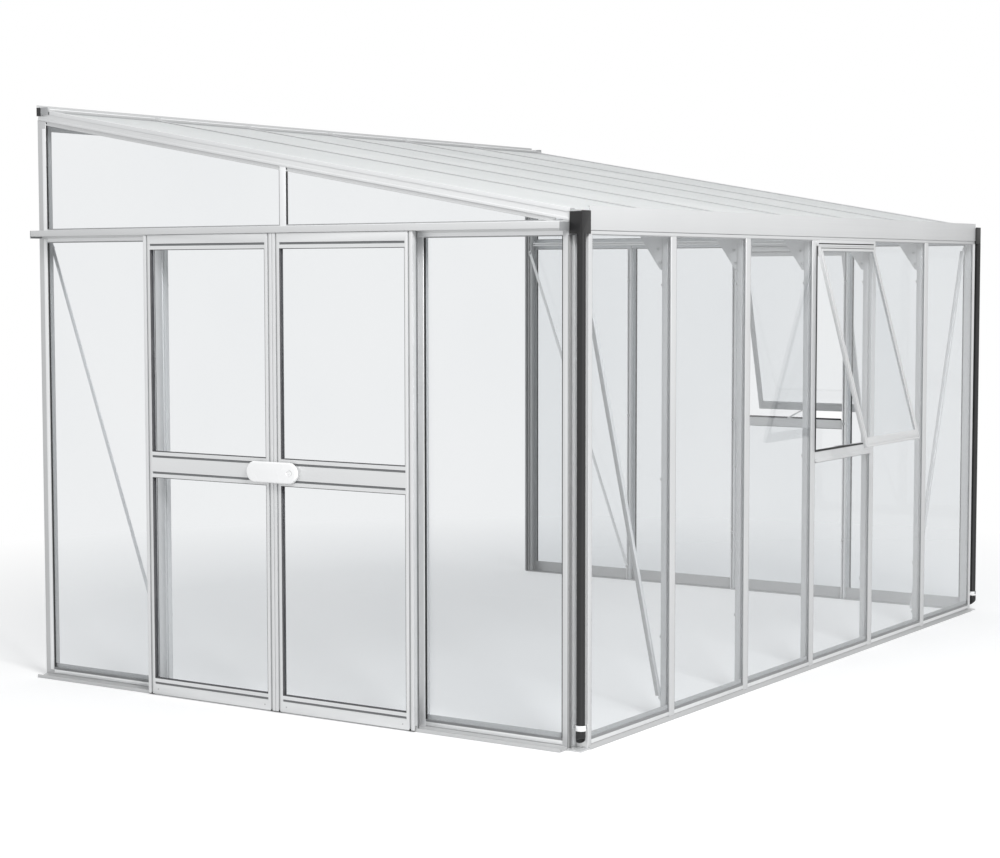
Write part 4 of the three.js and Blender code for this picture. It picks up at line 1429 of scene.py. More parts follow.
@dataclass
class WindowTrim(Maker):
    """Dark gaskets in the fixed frames of the windows and round their sashes, partly rubber and partly
    painted shade in the grooves and gaps.
    """

    head_groove: Span = (0.0174, 0.0126)
    head_inset: float = 0.002
    head_depth: Span = (-0.0087, -0.0079)
    sill_inset: float = 0.012
    sill_depth: Span = (0.0045, 0.0120)
    sill_height: Span = (0.9258, 0.9340)
    side_width: float = 0.0014
    side_bite: float = 0.0002
    side_depth: Span = (-0.0042, 0.0038)
    side_foot: float = 0.931
    side_drop: float = 0.0245
    sash_foot: float = 0.927
    sash_gap: float = 0.003
    sash_inset: float = 0.0081
    sash_rise: float = 0.003
    sash_strip: float = 0.0028
    sash_depth: Span = (-0.0119, -0.0109)
    hinge_drop: float = 0.0289
    hinge_reach: float = 0.005
    open_degrees: float = 15.0
    easing: float = 0.0003

    def build(self) -> None:
        """Builds the gaskets of both windows."""
        for window in WINDOWS:
            start = self.plan.line(window.wall, window.bay) + self.plan.cap_half
            end = self.plan.line(window.wall, window.bay + 1) - self.plan.cap_half
            self._frame(window, start, end)
            self._sash(window, start, end)

    def _frame(self, window: Window, start: float, end: float) -> None:
        """Adds the gaskets in the head, on the sill and beside the caps of a window.

        Args:
            window: the window.
            start: start of its bay between the caps.
            end: end of its bay.
        """
        wall, head = window.wall, window.head
        groove = (head - self.head_groove[0], head - self.head_groove[1])
        beside = (start - self.side_bite, start + self.side_width)
        if wall is not Wall.EAVES:
            beside = (end - self.side_width, end + self.side_bite)
        # The strips in the head's groove and beside the cap are partly rubber and partly painted shade of the
        # groove and the gap.
        strips = [
            self.plan.block("gasket", wall, along, depth, height)
            for along, depth, height in (
                ((start + self.head_inset, end - self.head_inset), self.head_depth, groove),
                ((start + self.sill_inset, end - self.sill_inset), self.sill_depth, self.sill_height),
                (beside, self.side_depth, (self.side_foot, head - self.side_drop)),
            )
        ]
        self.moulded(f"window_gaskets_{wall.value}", strips, "black_rubber_and_shade", self.easing)

    def _sash(self, window: Window, start: float, end: float) -> None:
        """Adds the gasket in the groove round the face of a sash, tipped open as the sash is stored.

        Args:
            window: the window.
            start: start of its bay between the caps.
            end: end of its bay.
        """
        wall, width = window.wall, self.sash_strip
        inset = self.sash_gap + self.sash_inset
        start, end = start + inset, end - inset
        hinge = window.head - self.hinge_drop
        top = hinge + self.sash_rise - self.sash_inset
        upright = (self.sash_foot + self.sash_inset, top - width)
        strips = [
            self.plan.block("gasket", wall, along, self.sash_depth, height)
            for along, height in (
                ((start, end), (top - width, top)),
                ((start, start + width), upright),
                ((end - width, end), upright),
            )
        ]
        # The sash's strip is partly rubber and partly painted shade in its groove.
        gasket = Bench.ease(Bench.unite(f"sash_gasket_{wall.value}", strips), self.easing)
        axis = "X" if wall is Wall.EAVES else "Y"
        pivot = self.plan.spot(wall, 0.0, -self.hinge_reach, hinge)
        Bench.tilt(gasket, pivot, -self.open_degrees, axis)
        dress(gasket, window.body, self.finishes["black_rubber_and_shade"])


@dataclass(frozen=True)
class HexagonHead:
    """Hexagon head on a round washer, with the shares of its height that they take."""

    radius: float
    height: float
    sides: int = 6
    washer_sides: int = 24
    head_foot_share: float = 0.22
    washer_top_share: float = 0.24
    washer_radius_share: float = 1.45
    easing: float = 0.0004

    def build(self, facing: Facing) -> bpy.types.Object:
        """Builds the head and its washer at the origin.

        Args:
            facing: direction that the head looks in.

        Returns:
            The piece.
        """
        foot, top = self.height * self.head_foot_share, self.height * self.washer_top_share
        head = Bench.rod("head", (0, 0, foot), (0, 0, self.height), self.radius, self.sides)
        washer_radius = self.radius * self.washer_radius_share
        washer = Bench.rod("washer", (0, 0, 0), (0, 0, top), washer_radius, self.washer_sides)
        return Bench.turn(Bench.ease(Bench.unite("head", [head, washer]), self.easing), facing)


@dataclass(frozen=True)
class DomedHead:
    """Domed head, cut flat a little under its middle."""

    radius: float
    rise_share: float = 0.55
    skirt: float = 0.0004
    segments: int = 20
    rings: int = 12
    smooth_degrees: float = 40.0

    def build(self, name: str, facing: Facing) -> bpy.types.Object:
        """Builds the head at the origin.

        Args:
            name: name of the piece.
            facing: direction that the head looks in.

        Returns:
            The piece.
        """
        Bench.clear()
        bpy.ops.mesh.primitive_uv_sphere_add(
            segments=self.segments, ring_count=self.rings, radius=self.radius
        )
        piece = bpy.context.active_object
        piece.name = name
        piece.scale = (1.0, 1.0, self.rise_share)
        Bench.pick(Bench.settle(piece))
        bpy.ops.object.mode_set(mode="EDIT")
        bpy.ops.mesh.select_all(action="SELECT")
        cut = (0.0, 0.0, -self.skirt)
        bpy.ops.mesh.bisect(plane_co=cut, plane_no=Facing.TOP.value, use_fill=True, clear_inner=True)
        bpy.ops.object.mode_set(mode="OBJECT")
        return Bench.turn(Bench.smooth(piece, self.smooth_degrees), facing)


@dataclass
class RainwaterRun(Maker):
    """Outlet box, downpipe, its ring and its slanted shoe at one end of the gutter."""

    wall: Wall
    axis: Span = (0.004, 0.008)
    sides: int = 40
    easing: float = 0.0009
    shoe_foot: float = 0.026
    slant_degrees: float = 38.0
    slant_half: float = 0.05
    slant_drop: float = 0.06
    slant_rise: float = 0.012
    ring_height: Span = (0.074, 0.094)
    ring_radius: float = 0.0190
    ring_easing: float = 0.0012
    collar_radius: float = 0.0171
    bore_overrun: float = 0.01
    stem_along: Span = (0.0, 0.008)
    stem_back: float = 0.0502
    stem_height: Span = (0.078, 0.090)
    stem_bite: float = 0.002
    ear_side: Span = (0.41, 0.91)
    ear_reach: float = 0.0205
    ear_foot: float = 0.083
    ear_length: float = 0.0135
    ear_radius: float = 0.0030
    ear_sides: int = 12
    ear_easing: float = 0.0006
    foot_plate: Span = (0.004, 0.0505)
    foot_height: Span = (0.0040, 0.0062)
    foot_easing: float = 0.0012
    bolt: HexagonHead = HexagonHead(0.0055, 0.006)
    bolt_level: float = 0.0060
    bolt_spots: tuple[Span, ...] = ((0.040, 0.012), (0.012, 0.040))

    @property
    def outer(self) -> float:
        """Sign of the direction out of the gable along the eaves."""
        return -1.0 if self.wall is Wall.DOOR_GABLE else 1.0

    def build(self) -> None:
        """Builds the run over its solid."""
        node, gable = f"downpipe_{self.wall.value}", self.wall.value
        run = self._slanted(DrawnSections.eased(node, f"rainwater_run_{gable}", self.easing))
        dress(run, FRAME_BODY, self.finishes["black_pvc"], [node])
        self.moulded(f"pipe_ring_{gable}", self._ring(), "white_nylon", self.ring_easing, slot=WHITE_SLOT)
        self.moulded(f"ring_ears_{gable}", self._ears(), "grey_plastic_and_shade", self.ear_easing)
        plate = self.plan.block("foot", self.wall, self.foot_plate, self.foot_plate, self.foot_height)
        self.drawn(f"corner_foot_{gable}", [plate], Way.ALONG_EAVES, PaintedLight.CORNER, self.foot_easing)
        places = [self.plan.spot(self.wall, *spot, self.bolt_level) for spot in self.bolt_spots]
        bolts = Bench.stamp(f"foot_bolts_{gable}", self.bolt.build(Facing.TOP), places)
        dress(bolts, FRAME_BODY, self.finishes["zinc_fastener"])

    def _centre(self, z: float) -> Vector:
        """Gives the pipe's axis at a height."""
        return self.plan.spot(self.wall, *self.axis, z)

    def _slanted(self, piece: bpy.types.Object) -> bpy.types.Object:
        """Cuts the foot of the shoe off at a slant, open towards the outside corner.

        Args:
            piece: the copy of the solid.

        Returns:
            The piece.
        """
        half = self.slant_half
        tool = Bench.block("slant", (-half, -half, -self.slant_drop), (half, half, 0.0))
        outward = Vector((self.outer, -1.0, 0.0)).normalized()
        turn = Matrix.Rotation(math.radians(self.slant_degrees), 4, outward.cross(Vector(Facing.TOP.value)))
        edge = self._centre(self.shoe_foot) + Vector((0, 0, self.slant_rise))
        tool.matrix_world = Matrix.Translation(edge) @ turn
        return Bench.carve(piece, Bench.settle(tool))

    def _ring(self) -> list[bpy.types.Object]:
        """Builds the pale ring over the collar and its lug on the notch wall.

        Returns:
            The ring and the lug.
        """
        low, high = (self._centre(z) for z in self.ring_height)
        over = Vector((0, 0, self.bore_overrun))
        ring = Bench.rod("ring", low, high, self.ring_radius, self.sides)
        Bench.carve(ring, Bench.rod("bore", low - over, high + over, self.collar_radius, self.sides))
        depth = (self.axis[1] + self.ring_radius - self.stem_bite, self.stem_back)
        return [ring, self.plan.block("stem", self.wall, self.stem_along, depth, self.stem_height)]

    def _ears(self) -> list[bpy.types.Object]:
        """Builds the two screw ears on the sides of the ring.

        Returns:
            The ears.
        """
        side = Vector((self.outer * self.ear_side[0], self.ear_side[1], 0.0))
        rise = Vector((0, 0, self.ear_length))
        feet = [self._centre(self.ear_foot) + side * reach for reach in (-self.ear_reach, self.ear_reach)]
        return [Bench.rod("ear", foot, foot + rise, self.ear_radius, self.ear_sides) for foot in feet]


@dataclass
class Fasteners(Maker):
    """Bolts, nuts and rivets of the frame and the leaves."""

    nut: HexagonHead = HexagonHead(0.0058, 0.0062)
    nut_depth: float = 0.0482
    nut_heights: tuple[float, ...] = (0.311, 0.911, 1.645)
    knee_bolt: HexagonHead = HexagonHead(0.0046, 0.0050)
    knee_face: float = 0.0021
    knee_spots: tuple[Span, ...] = ((0.060, 1.727), (0.068, 1.779), (0.150, 1.865))
    brace_bolt: HexagonHead = HexagonHead(0.0056, 0.0055)
    brace_depth: float = 0.0515
    brace_heights: Span = (0.076, 1.800)
    brace_inset: float = 0.004
    eaves_brace_foot: float = 0.003
    eaves_brace_head: float = 0.073
    rivet: DomedHead = DomedHead(0.0032)
    rivet_height: float = 0.026
    rivet_inset: float = 0.052

    def build(self) -> None:
        """Builds every fastener."""
        for wall in Wall:
            self._channel_nuts(wall)
        for facing, side in ((Facing.DOOR_GABLE, -self.knee_face), (Facing.FAR_GABLE, self.knee_face)):
            self._knee_bolts(facing, side)
        for wall in (*GABLES, Wall.EAVES):
            self._brace_bolts(wall)
        for side in LEAVES:
            self._rivets(side)

    def _stamp(
        self, name: str, pattern: bpy.types.Object, spots: Sequence[Vector], body: str = FRAME_BODY
    ) -> None:
        """Copies a fastener to its places and dresses the whole.

        Args:
            name: name of the whole.
            pattern: the fastener at the origin.
            spots: where the copies go.
            body: name of the body that they ride on.
        """
        whole = Bench.stamp(name, pattern, spots)
        dress(whole, body, self.finishes["zinc_fastener"])

    def _channel_nuts(self, wall: Wall) -> None:
        """Adds the nuts that show in the bolt channels of a wall's posts.

        Args:
            wall: the wall.
        """
        spots = [
            self.plan.spot(wall, line, self.nut_depth, z)
            for line in self.plan.posts(wall)
            for z in self.nut_heights
        ]
        self._stamp(f"channel_nuts_{wall.value}", self.nut.build(wall.inner), spots)

    def _knee_bolts(self, facing: Facing, side: float) -> None:
        """Adds the heads of the bolts on one side of the knee plates.

        Args:
            facing: direction that they look in.
            side: distance from the middle of a plate to that side.
        """
        spots = [
            self.plan.spot(Wall.EAVES, line + side, y, z)
            for line in self.plan.posts(Wall.EAVES)
            for y, z in self.knee_spots
        ]
        self._stamp(f"knee_bolts_{facing.name.lower()}", self.knee_bolt.build(facing), spots)

    def _brace_bolts(self, wall: Wall) -> None:
        """Adds the bolts at the ends of a wall's diagonal braces.

        Args:
            wall: the wall.
        """
        plan = self.plan
        foot, head = self.brace_heights
        last = plan.line(wall, plan.bays(wall) - 1)
        if wall is Wall.EAVES:
            ends = (
                (plan.line(wall, 1) - self.eaves_brace_foot, foot),
                (self.eaves_brace_head, head),
                (last + self.eaves_brace_foot, foot),
                (plan.length - self.eaves_brace_head, head),
            )
        else:
            wall_line = plan.line(wall, plan.gable_bays)
            ends = ((last + self.brace_inset, foot), (wall_line - self.brace_inset, head))
        spots = [plan.spot(wall, along, self.brace_depth, z) for along, z in ends]
        self._stamp(f"brace_bolts_{wall.value}", self.brace_bolt.build(wall.inner), spots)

    def _rivets(self, side: str) -> None:
        """Adds the rivets near the corners of a leaf's kick plate.

        Args:
            side: side of the doorway that the leaf closes.
        """
        low, high = corners(f"door_frame_{side}")
        edges = (low.y + self.rivet_inset, high.y - self.rivet_inset)
        spots = [Vector((low.x, y, self.rivet_height)) for y in edges]
        rivet = self.rivet.build("rivet", Facing.DOOR_GABLE)
        self._stamp(f"kick_rivets_{side}", rivet, spots, f"door_{side}")


@dataclass
class DoorFittings(Maker):
    """End caps of the track and guide shoes of the leaves."""

    cap_inset: float = 0.002
    cap_thickness: float = 0.003
    cap_easing: float = 0.0009
    shoe_along: Span = (0.002, 0.026)
    shoe_depth: Span = (0.0008, 0.0088)
    shoe_drop: float = 0.0032
    shoe_rise: float = 0.004
    shoe_easing: float = 0.0007

    def build(self) -> None:
        """Builds the fittings."""
        self._track_ends()
        for side in LEAVES:
            self._shoes(side)

    def _track_ends(self) -> None:
        """Closes both ends of the track with moulded caps."""
        low, high = corners("door_track")
        back = high.x - self.cap_inset
        caps = [
            Bench.block("track_end", (low.x, y, low.z), (back, y + outer * self.cap_thickness, high.z))
            for y, outer in ((low.y, -1), (high.y, 1))
        ]
        self.moulded("track_ends", caps, "grey_plastic_and_shade", self.cap_easing)

    def _shoes(self, side: str) -> None:
        """Adds the guide shoes under both stiles of a leaf.

        Args:
            side: side of the doorway that the leaf closes.
        """
        low, high = corners(f"door_frame_{side}")
        near, far = self.shoe_along
        front, back = (low.x + depth for depth in self.shoe_depth)
        foot, top = low.z - self.shoe_drop, low.z + self.shoe_rise
        shoes = [
            Bench.block("shoe", (front, start, foot), (back, end, top))
            for start, end in ((low.y + near, low.y + far), (high.y - far, high.y - near))
        ]
        self.moulded(f"leaf_shoes_{side}", shoes, "black_pvc", self.shoe_easing, f"door_{side}")


@dataclass
class Latch(Maker):
    """Capsule latch on its boss, and the keep behind it on the other leaf."""

    middle: float = 1.327
    height: float = 0.932
    reach: float = 0.082
    radius: float = 0.041
    front: float = -0.087
    thickness: float = 0.018
    sides: int = 64
    easing: float = 0.0062
    easing_segments: int = 6
    easing_degrees: float = 50.0
    overrun: float = 0.01
    boss_sides: int = 40
    pit_radius: float = 0.0085
    pit_depth: float = 0.0032
    crescent_radius: float = 0.0125
    crescent_core: float = 0.0118
    crescent_shift: float = 0.0052
    crescent_drop: float = 0.0085
    crescent_depth: float = 0.0042
    crescent_sides: int = 48
    boss_radius: float = 0.016
    boss_foot: float = -0.0623
    boss_inset: float = 0.001
    smooth_degrees: float = 40.0
    cap: DomedHead = DomedHead(0.0072)
    cap_sunk: float = 0.0042
    keep_along: Span = (0.020, 0.052)
    keep_half_height: float = 0.016
    keep_depth: Span = (-0.0672, -0.0622)
    keep_easing: float = 0.0015
    keep_segments: int = 3

    @property
    def pivot(self) -> Vector:
        """Middle of the pivot on the face of the latch."""
        return self.plan.spot(Wall.DOOR_GABLE, self.middle - self.reach, self.front, self.height)

    def build(self) -> None:
        """Builds the latch, its cap and its keep."""
        white = self.finishes["white_nylon"]
        capsule = Bench.carve(self._capsule(), self._pit(), self._crescent())
        piece = Bench.smooth(Bench.unite("latch_capsule", [capsule, self._boss()]), self.smooth_degrees)
        dress(piece, "latch", white, ["door_latch"])
        cap = self.cap.build("latch_cap", Facing.DOOR_GABLE)
        cap.data.transform(Matrix.Translation(self.pivot + Vector((self.cap_sunk, 0, 0))))
        dress(cap, "latch", white)
        self._keep()

    def _capsule(self) -> bpy.types.Object:
        """Builds the capsule from a disc whose halves are moved apart.

        Returns:
            The capsule.
        """
        Bench.clear()
        bpy.ops.mesh.primitive_cylinder_add(
            vertices=self.sides, radius=self.radius, depth=self.thickness, rotation=(0, math.pi / 2, 0)
        )
        capsule = Bench.settle(bpy.context.active_object)
        for vertex in capsule.data.vertices:
            vertex.co.y += self.reach if vertex.co.y > 0 else -self.reach
        depth = self.front + self.thickness / 2
        capsule.data.transform(
            Matrix.Translation(self.plan.spot(Wall.DOOR_GABLE, self.middle, depth, self.height))
        )
        return Bench.ease(capsule, self.easing, self.easing_segments, self.easing_degrees)

    def _pit(self) -> bpy.types.Object:
        """Builds the shape that sinks the pivot.

        Returns:
            The shape to cut out.
        """
        start = self.pivot - Vector((self.overrun, 0, 0))
        end = self.pivot + Vector((self.pit_depth, 0, 0))
        return Bench.rod("pit", start, end, self.pit_radius, self.boss_sides)

    def _crescent(self) -> bpy.types.Object:
        """Builds the shape of the thin crescent beside the pivot.

        Returns:
            The shape to cut out.
        """
        front, over, shift = -2 * self.overrun, 3 * self.overrun, self.crescent_shift
        end, sides = (self.crescent_depth, 0, 0), self.crescent_sides
        outer = Bench.rod("outer", (front, 0, 0), end, self.crescent_radius, sides)
        inner = Bench.rod("inner", (-over, shift, 0), (over, shift, 0), self.crescent_core, sides)
        Bench.carve(outer, inner)
        outer.data.transform(Matrix.Translation(self.pivot - Vector((0, self.crescent_drop, 0))))
        return outer

    def _boss(self) -> bpy.types.Object:
        """Builds the boss that carries the latch.

        Returns:
            The boss.
        """
        start, end = self.pivot, self.pivot
        start.x = self.plan.door_face + self.boss_foot
        end.x += self.thickness - self.boss_inset
        return Bench.rod("boss", start, end, self.boss_radius, self.boss_sides)

    def _keep(self) -> None:
        """Adds the keep behind the latch on the other leaf."""
        along = (self.middle + self.keep_along[0], self.middle + self.keep_along[1])
        height = (self.height - self.keep_half_height, self.height + self.keep_half_height)
        keep = self.plan.block("latch_keep", Wall.DOOR_GABLE, along, self.keep_depth, height)
        Bench.ease(keep, self.keep_easing, self.keep_segments)
        dress(keep, "door_wall_side", self.finishes["white_nylon"])


@dataclass
class BraceLegs(Maker):
    """Standing legs of the angle sections that brace the first and the last eaves bay."""

    foot: float = 0.066
    head: float = 1.811
    corner: float = 0.070
    half_width: float = 0.0080
    thickness: float = 0.0024
    depth: Span = (0.0500, 0.0660)
    trim: float = 0.022
    easing: float = 0.0005

    def build(self) -> None:
        """Builds both legs."""
        plan = self.plan
        first, *_, last = plan.posts(Wall.EAVES)
        # One section in two tones: the first leg darker as painted shade, the last paler as painted light
        # where it is seen lit through the glass.
        self._leg("first", first, self.corner, PaintedLight.SHADE)
        self._leg("last", last, plan.length - self.corner, PaintedLight.JAMB)

    def _leg(self, name: str, foot_along: float, head_along: float, tone: PaintedLight) -> None:
        """Builds the leg along one brace.

        Args:
            name: which bay it is in.
            foot_along: place of its foot along the eaves.
            head_along: place of its head along the eaves.
            tone: its painted light and shade.
        """
        foot = self.plan.spot(Wall.EAVES, foot_along, 0.0, self.foot)
        run = self.plan.spot(Wall.EAVES, head_along, 0.0, self.head) - foot
        low = (self.trim, self.depth[0], self.half_width - self.thickness)
        high = (run.length - self.trim, self.depth[1], self.half_width)
        leg = Bench.block("leg", low, high)
        ahead, inward = run.normalized(), Vector(Facing.WALL.value)
        turn = Matrix((ahead, inward, ahead.cross(inward))).transposed().to_4x4()
        leg.matrix_world = Matrix.Translation(foot) @ turn
        self.drawn(f"brace_leg_{name}_bay", [Bench.settle(leg)], Way.UPRIGHT, tone, self.easing)


@dataclass
class CornerRidges(Maker):
    """Raised ridge, drawn pale as painted light, and dark strips that paint the shade in the notches of the
    corner posts, beside the downpipes.
    """

    notch: float = 0.050
    bite: float = 0.0001
    ridge: Span = (0.0235, 0.0345)
    ridge_proud: float = 0.0060
    ridge_easing: float = 0.0009
    ridge_segments: int = 3
    liner: Span = (0.0004, 0.0200)
    shade_strip_proud: float = 0.0008
    shade_strip_easing: float = 0.0003
    edge: Span = (0.0502, 0.0540)
    edge_proud: float = 0.0006
    height: Span = (0.0064, 1.823)

    def build(self) -> None:
        """Builds the ridge and the shade strips of both corners."""
        for wall in GABLES:
            self._corner(wall)

    def _corner(self, wall: Wall) -> None:
        """Builds the ridge and the shade strips of one corner.

        Args:
            wall: gable that the corner belongs to.
        """
        plan, height, back = self.plan, self.height, self.notch + self.bite
        # The ridge is drawn pale: painted light on the lit wall of the notch.
        ridge = plan.block("ridge", wall, (self.notch - self.ridge_proud, back), self.ridge, height)
        name = f"corner_ridge_{wall.value}"
        self.drawn(name, [ridge], Way.UPRIGHT, PaintedLight.PALE, self.ridge_easing, self.ridge_segments)
        # Painted shade: dark strips on the notch wall and on the edge of the flange, where the pipe and the
        # post shade them.
        liner = plan.block("liner", wall, (self.notch - self.shade_strip_proud, back), self.liner, height)
        edge = plan.block("edge", wall, self.edge, (-self.edge_proud, self.bite), height)
        name = f"corner_shade_{wall.value}"
        self.drawn(name, [liner, edge], Way.UPRIGHT, PaintedLight.GROOVE, self.shade_strip_easing)


@dataclass
class RoofTrim(Maker):
    """Edge tapes of the sheets, ends of the wall plate, clips and beads on its flashing."""

    sheet_under: float = 0.031
    sheet_thickness: float = 0.010
    sheet_start: float = 0.025
    sheet_end_inset: float = 0.0085
    sheet_bar_half: float = 0.0165
    tape: float = 0.016
    tape_gap: float = 0.0001
    tape_thickness: float = 0.0006
    tape_easing: float = 0.0001
    plate_back: float = -0.0041
    plate_top: float = 2.377
    foam_along: Span = (2.600, 2.6225)
    foam_front: float = -0.0058
    foam_foot: float = 2.342
    foam_easing: float = 0.0006
    end_along: Span = (2.557, 2.598)
    end_front: float = -0.0068
    end_foot: float = 2.345
    end_easing: float = 0.0012
    end_segments: int = 3
    flashing_degrees: float = 5.1
    flashing_edge: float = 0.0688
    flashing_top: float = 2.3700
    flashing_easing: float = 0.0006
    clip_half: float = 0.004
    clip_back: float = 0.006
    clip_height: Span = (2.3615, 2.3700)
    bead_end: float = 0.010
    bead_gap: float = 0.012
    bead_depth: Span = (0.050, 0.038)
    bead_height: Span = (2.3660, 2.3702)

    def build(self) -> None:
        """Builds the trim."""
        tapes = [strip for bay in range(self.plan.eaves_bays) for strip in self._tape(bay)]
        self.drawn("sheet_edge_tapes", tapes, Way.ALONG_EAVES, PaintedLight.FRAME, self.tape_easing, 1)
        for wall in GABLES:
            self._plate_end(wall)
        self._clips()
        self._beads()

    def _tape(self, bay: int) -> list[bpy.types.Object]:
        """Builds the lip and the top of the foil tape on the lower edge of a sheet.

        Args:
            bay: bay of the sheet.

        Returns:
            The two strips.
        """
        plan = self.plan
        face = plan.eaves_face + self.sheet_start
        under = plan.rafter_under(self.sheet_start) + self.sheet_under
        top = under + self.sheet_thickness
        near = plan.line(Wall.EAVES, bay) + self.sheet_bar_half
        far = plan.line(Wall.EAVES, bay + 1) - self.sheet_bar_half
        if bay == 0:
            near = self.sheet_end_inset
        if bay == plan.eaves_bays - 1:
            far = plan.length - self.sheet_end_inset
        start, end = plan.door_face + near, plan.door_face + far
        front, crest = face - self.tape_thickness, top + self.tape_thickness
        strips = (
            Bench.block("lip", (start, front, under), (end, face - self.tape_gap, crest)),
            Bench.block("top", (start, front, top + self.tape_gap), (end, face + self.tape, crest)),
        )
        return [Bench.tilt(strip, (0, face, under), plan.roof_degrees) for strip in strips]

    def _plate_end(self, wall: Wall) -> None:
        """Closes an end of the wall plate with foam and a pale block.

        Args:
            wall: gable at that end.
        """
        depth, height = (self.foam_front, self.plate_back), (self.foam_foot, self.plate_top)
        foam = self.plan.block("foam", wall, self.foam_along, depth, height)
        self.moulded(f"plate_foam_{wall.value}", [foam], "black_rubber_and_shade", self.foam_easing)
        depth, height = (self.end_front, self.plate_back), (self.end_foot, self.plate_top)
        end = self.plan.block("end", wall, self.end_along, depth, height)
        name = f"plate_end_{wall.value}"
        self.moulded(name, [end], "pale_seal_and_shade", self.end_easing, segments=self.end_segments)

    def _on_flashing(self, along: Span, back: Span, height: Span) -> bpy.types.Object:
        """Adds a block that lies on the sloping flashing.

        Args:
            along: its two ends along the eaves.
            back: distances of its two sides from the back of the wall plate.
            height: its foot and top before it is tipped.

        Returns:
            The block.
        """
        plate = corners("wall_plate")[1].y
        start, end = (self.plan.door_face + place for place in along)
        block = Bench.block("trim", (start, plate - back[0], height[0]), (end, plate - back[1], height[1]))
        pivot = (0, plate - self.flashing_edge, self.flashing_top)
        return Bench.tilt(block, pivot, self.flashing_degrees)

    def _clips(self) -> None:
        """Adds the clips across the flashing over each roof bar."""
        half = self.clip_half
        back = (self.flashing_edge, self.clip_back)
        clips = [
            self._on_flashing((line - half, line + half), back, self.clip_height)
            for line in self.plan.posts(Wall.EAVES)
        ]
        self.drawn("flashing_clips", clips, Way.TO_WALL, PaintedLight.FRAME, self.flashing_easing)

    def _beads(self) -> None:
        """Adds the beads along the flashing between the clips."""
        gap = self.bead_gap
        edges = [self.bead_end, *self.plan.posts(Wall.EAVES), self.plan.length - self.bead_end]
        beads = [
            self._on_flashing((near + gap, far - gap), self.bead_depth, self.bead_height)
            for near, far in zip(edges, edges[1:])
        ]
        self.drawn("flashing_beads", beads, Way.ALONG_EAVES, PaintedLight.PALE, self.flashing_easing)


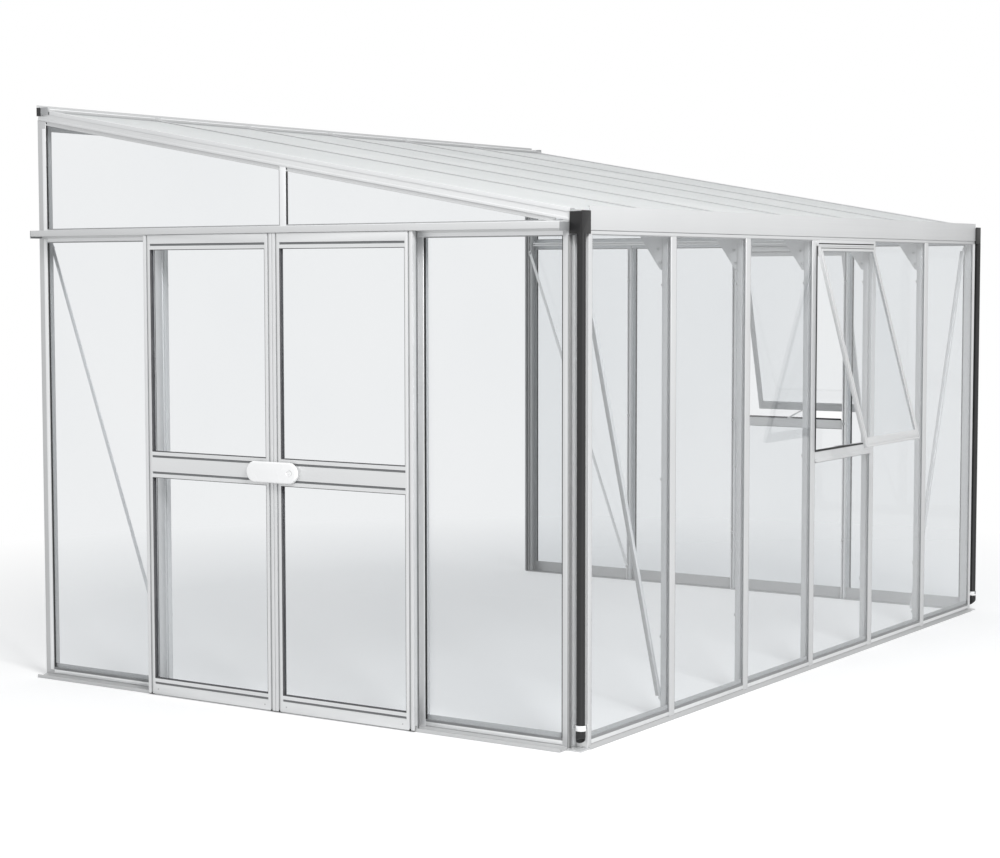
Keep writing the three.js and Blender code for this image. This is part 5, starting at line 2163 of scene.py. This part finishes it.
@dataclass
class Studio:
    """Pale floor, plain soft light and the camera."""

    focal_share: float = 2.13999786
    yaw: float = math.radians(34.0614)
    pitch: float = math.radians(4.1659)
    roll: float = math.radians(-0.1385)
    eye: tuple[float, float, float] = (-6.4185, -3.84012, 1.69337)
    shift: Span = (0.03718, -0.00079)
    sensor: float = 36.0
    sight: float = 200.0
    floor_reach: float = 60.0
    floor_level: float = -0.0006
    floor_grey: Colour = (0.77, 0.77, 0.77)
    floor_roughness: float = 0.9
    floor_glow: float = 0.34
    floor_fade: Span = (2.6, 5.0)
    sky: Colour = (0.97, 0.985, 1.0)
    sky_strength: float = 0.64
    lamp_place: tuple[float, float, float] = (-5.5, -6.5, 6.5)
    lamp_target: tuple[float, float, float] = (0.0, 0.0, 1.0)
    lamp_size: float = 3.0
    lamp_watts: float = 590.0

    def build(self, plan: Plan) -> None:
        """Builds the floor, world, lamp and camera.

        Args:
            plan: plan of the greenhouse, whose near corner the camera is measured from.
        """
        self._floor()
        self._world()
        self._lamp()
        self._camera(Vector((plan.door_face, plan.eaves_face, 0.0)))

    def _floor(self) -> None:
        """Adds the floor, which shows white and keeps a faint shadow."""
        Bench.clear()
        place = (0, 0, self.floor_level)
        bpy.ops.mesh.primitive_plane_add(size=2 * self.floor_reach, location=place)
        floor = Bench.settle(bpy.context.active_object)
        floor.name = "studio_floor"
        material, tree, shader = fresh_material("studio_floor")
        shader.inputs["Base Color"].default_value = (*self.floor_grey, 1.0)
        shader.inputs["Roughness"].default_value = self.floor_roughness
        shader.inputs["Specular IOR Level"].default_value = 0.0
        reach = tree.nodes.new("ShaderNodeVectorMath")
        reach.operation = "LENGTH"
        fade = tree.nodes.new("ShaderNodeMapRange")
        fade.inputs["From Min"].default_value, fade.inputs["From Max"].default_value = self.floor_fade
        glow, white = (tree.nodes.new("ShaderNodeEmission") for _ in range(2))
        glow.inputs["Strength"].default_value = self.floor_glow
        white.inputs["Strength"].default_value = 1.0
        total = tree.nodes.new("ShaderNodeAddShader")
        link(tree, tree.nodes.new("ShaderNodeTexCoord").outputs["Object"], reach.inputs[0])
        link(tree, reach.outputs["Value"], fade.inputs["Value"])
        link(tree, shader.outputs["BSDF"], total.inputs[0])
        link(tree, glow.outputs["Emission"], total.inputs[1])
        near = total.outputs["Shader"]
        away = blend(tree, fade.outputs["Result"], near, white.outputs["Emission"])
        shown = blend(tree, self._seen(tree), shader.outputs["BSDF"], away)
        link(tree, shown, tree.nodes["Material Output"].inputs["Surface"])
        floor.data.materials.append(material)
        floor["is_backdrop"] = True

    @staticmethod
    def _seen(tree: bpy.types.NodeTree) -> bpy.types.NodeSocket:
        """Adds nodes that tell a seen, mirrored or looked-through ray from a lighting one."""
        return any_ray(tree, "Is Camera Ray", "Is Glossy Ray", "Is Transmission Ray")

    def _world(self) -> None:
        """Makes the world white to the eye and softer as light."""
        world = bpy.data.worlds.new("studio_world")
        bpy.context.scene.world = world
        world.use_nodes = True
        tree = world.node_tree
        light = tree.nodes["Background"]
        light.inputs["Color"].default_value = (*self.sky, 1.0)
        light.inputs["Strength"].default_value = self.sky_strength
        white = tree.nodes.new("ShaderNodeBackground")
        white.inputs["Color"].default_value = (1.0, 1.0, 1.0, 1.0)
        shown = blend(tree, self._seen(tree), light.outputs["Background"], white.outputs["Background"])
        link(tree, shown, tree.nodes["World Output"].inputs["Surface"])

    def _lamp(self) -> None:
        """Adds a soft square lamp that looks at the greenhouse."""
        data = bpy.data.lights.new("key_panel", "AREA")
        data.shape = "SQUARE"
        data.size = self.lamp_size
        data.energy = self.lamp_watts
        lamp = bpy.data.objects.new("key_panel", data)
        bpy.context.scene.collection.objects.link(lamp)
        lamp.location = self.lamp_place
        gaze = Vector(self.lamp_target) - Vector(self.lamp_place)
        lamp.rotation_euler = gaze.to_track_quat("-Z", "Y").to_euler()

    def _camera(self, corner: Vector) -> None:
        """Adds the camera where the photographer stood.

        Args:
            corner: near corner of the greenhouse on the ground.
        """
        data = bpy.data.cameras.new("camera")
        data.sensor_width = self.sensor
        data.lens = self.focal_share * self.sensor
        data.shift_x, data.shift_y = self.shift
        data.clip_end = self.sight
        camera = bpy.data.objects.new("camera", data)
        bpy.context.scene.collection.objects.link(camera)
        level = math.cos(self.pitch)
        ahead = Vector((math.cos(self.yaw) * level, math.sin(self.yaw) * level, -math.sin(self.pitch)))
        side = Vector((math.sin(self.yaw), -math.cos(self.yaw), 0.0))
        above = side.cross(ahead)
        right = side * math.cos(self.roll) + above * math.sin(self.roll)
        upper = above * math.cos(self.roll) - side * math.sin(self.roll)
        turn = Matrix((right, upper, -ahead)).transposed()
        camera.matrix_world = Matrix.Translation(corner + Vector(self.eye)) @ turn.to_4x4()
        bpy.context.scene.camera = camera


def main() -> None:
    """Builds the greenhouse and its studio."""
    logging.basicConfig(level=logging.INFO, format="%(name)s: %(message)s")
    bpy.context.scene.view_settings.view_transform = "Standard"
    plan = Plan()
    finishes = Finishes()
    DrawnSections(finishes).build()
    Glazing(finishes).build()
    for maker in (Seals, LeafGrooveShades, EdgeTrim, WindowTrim):
        maker(finishes, plan).build()
    for wall in GABLES:
        RainwaterRun(finishes, plan, wall).build()
    for maker in (Fasteners, DoorFittings, Latch, BraceLegs, CornerRidges, RoofTrim):
        maker(finishes, plan).build()
    Studio().build(plan)
    Bench.clear()
    boxes = {"cad": SOLIDS_BOX, "visual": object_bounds()}
    {key: [list(corner) for corner in box] for key, box in boxes.items()}


if __name__ == "__main__":
    main()
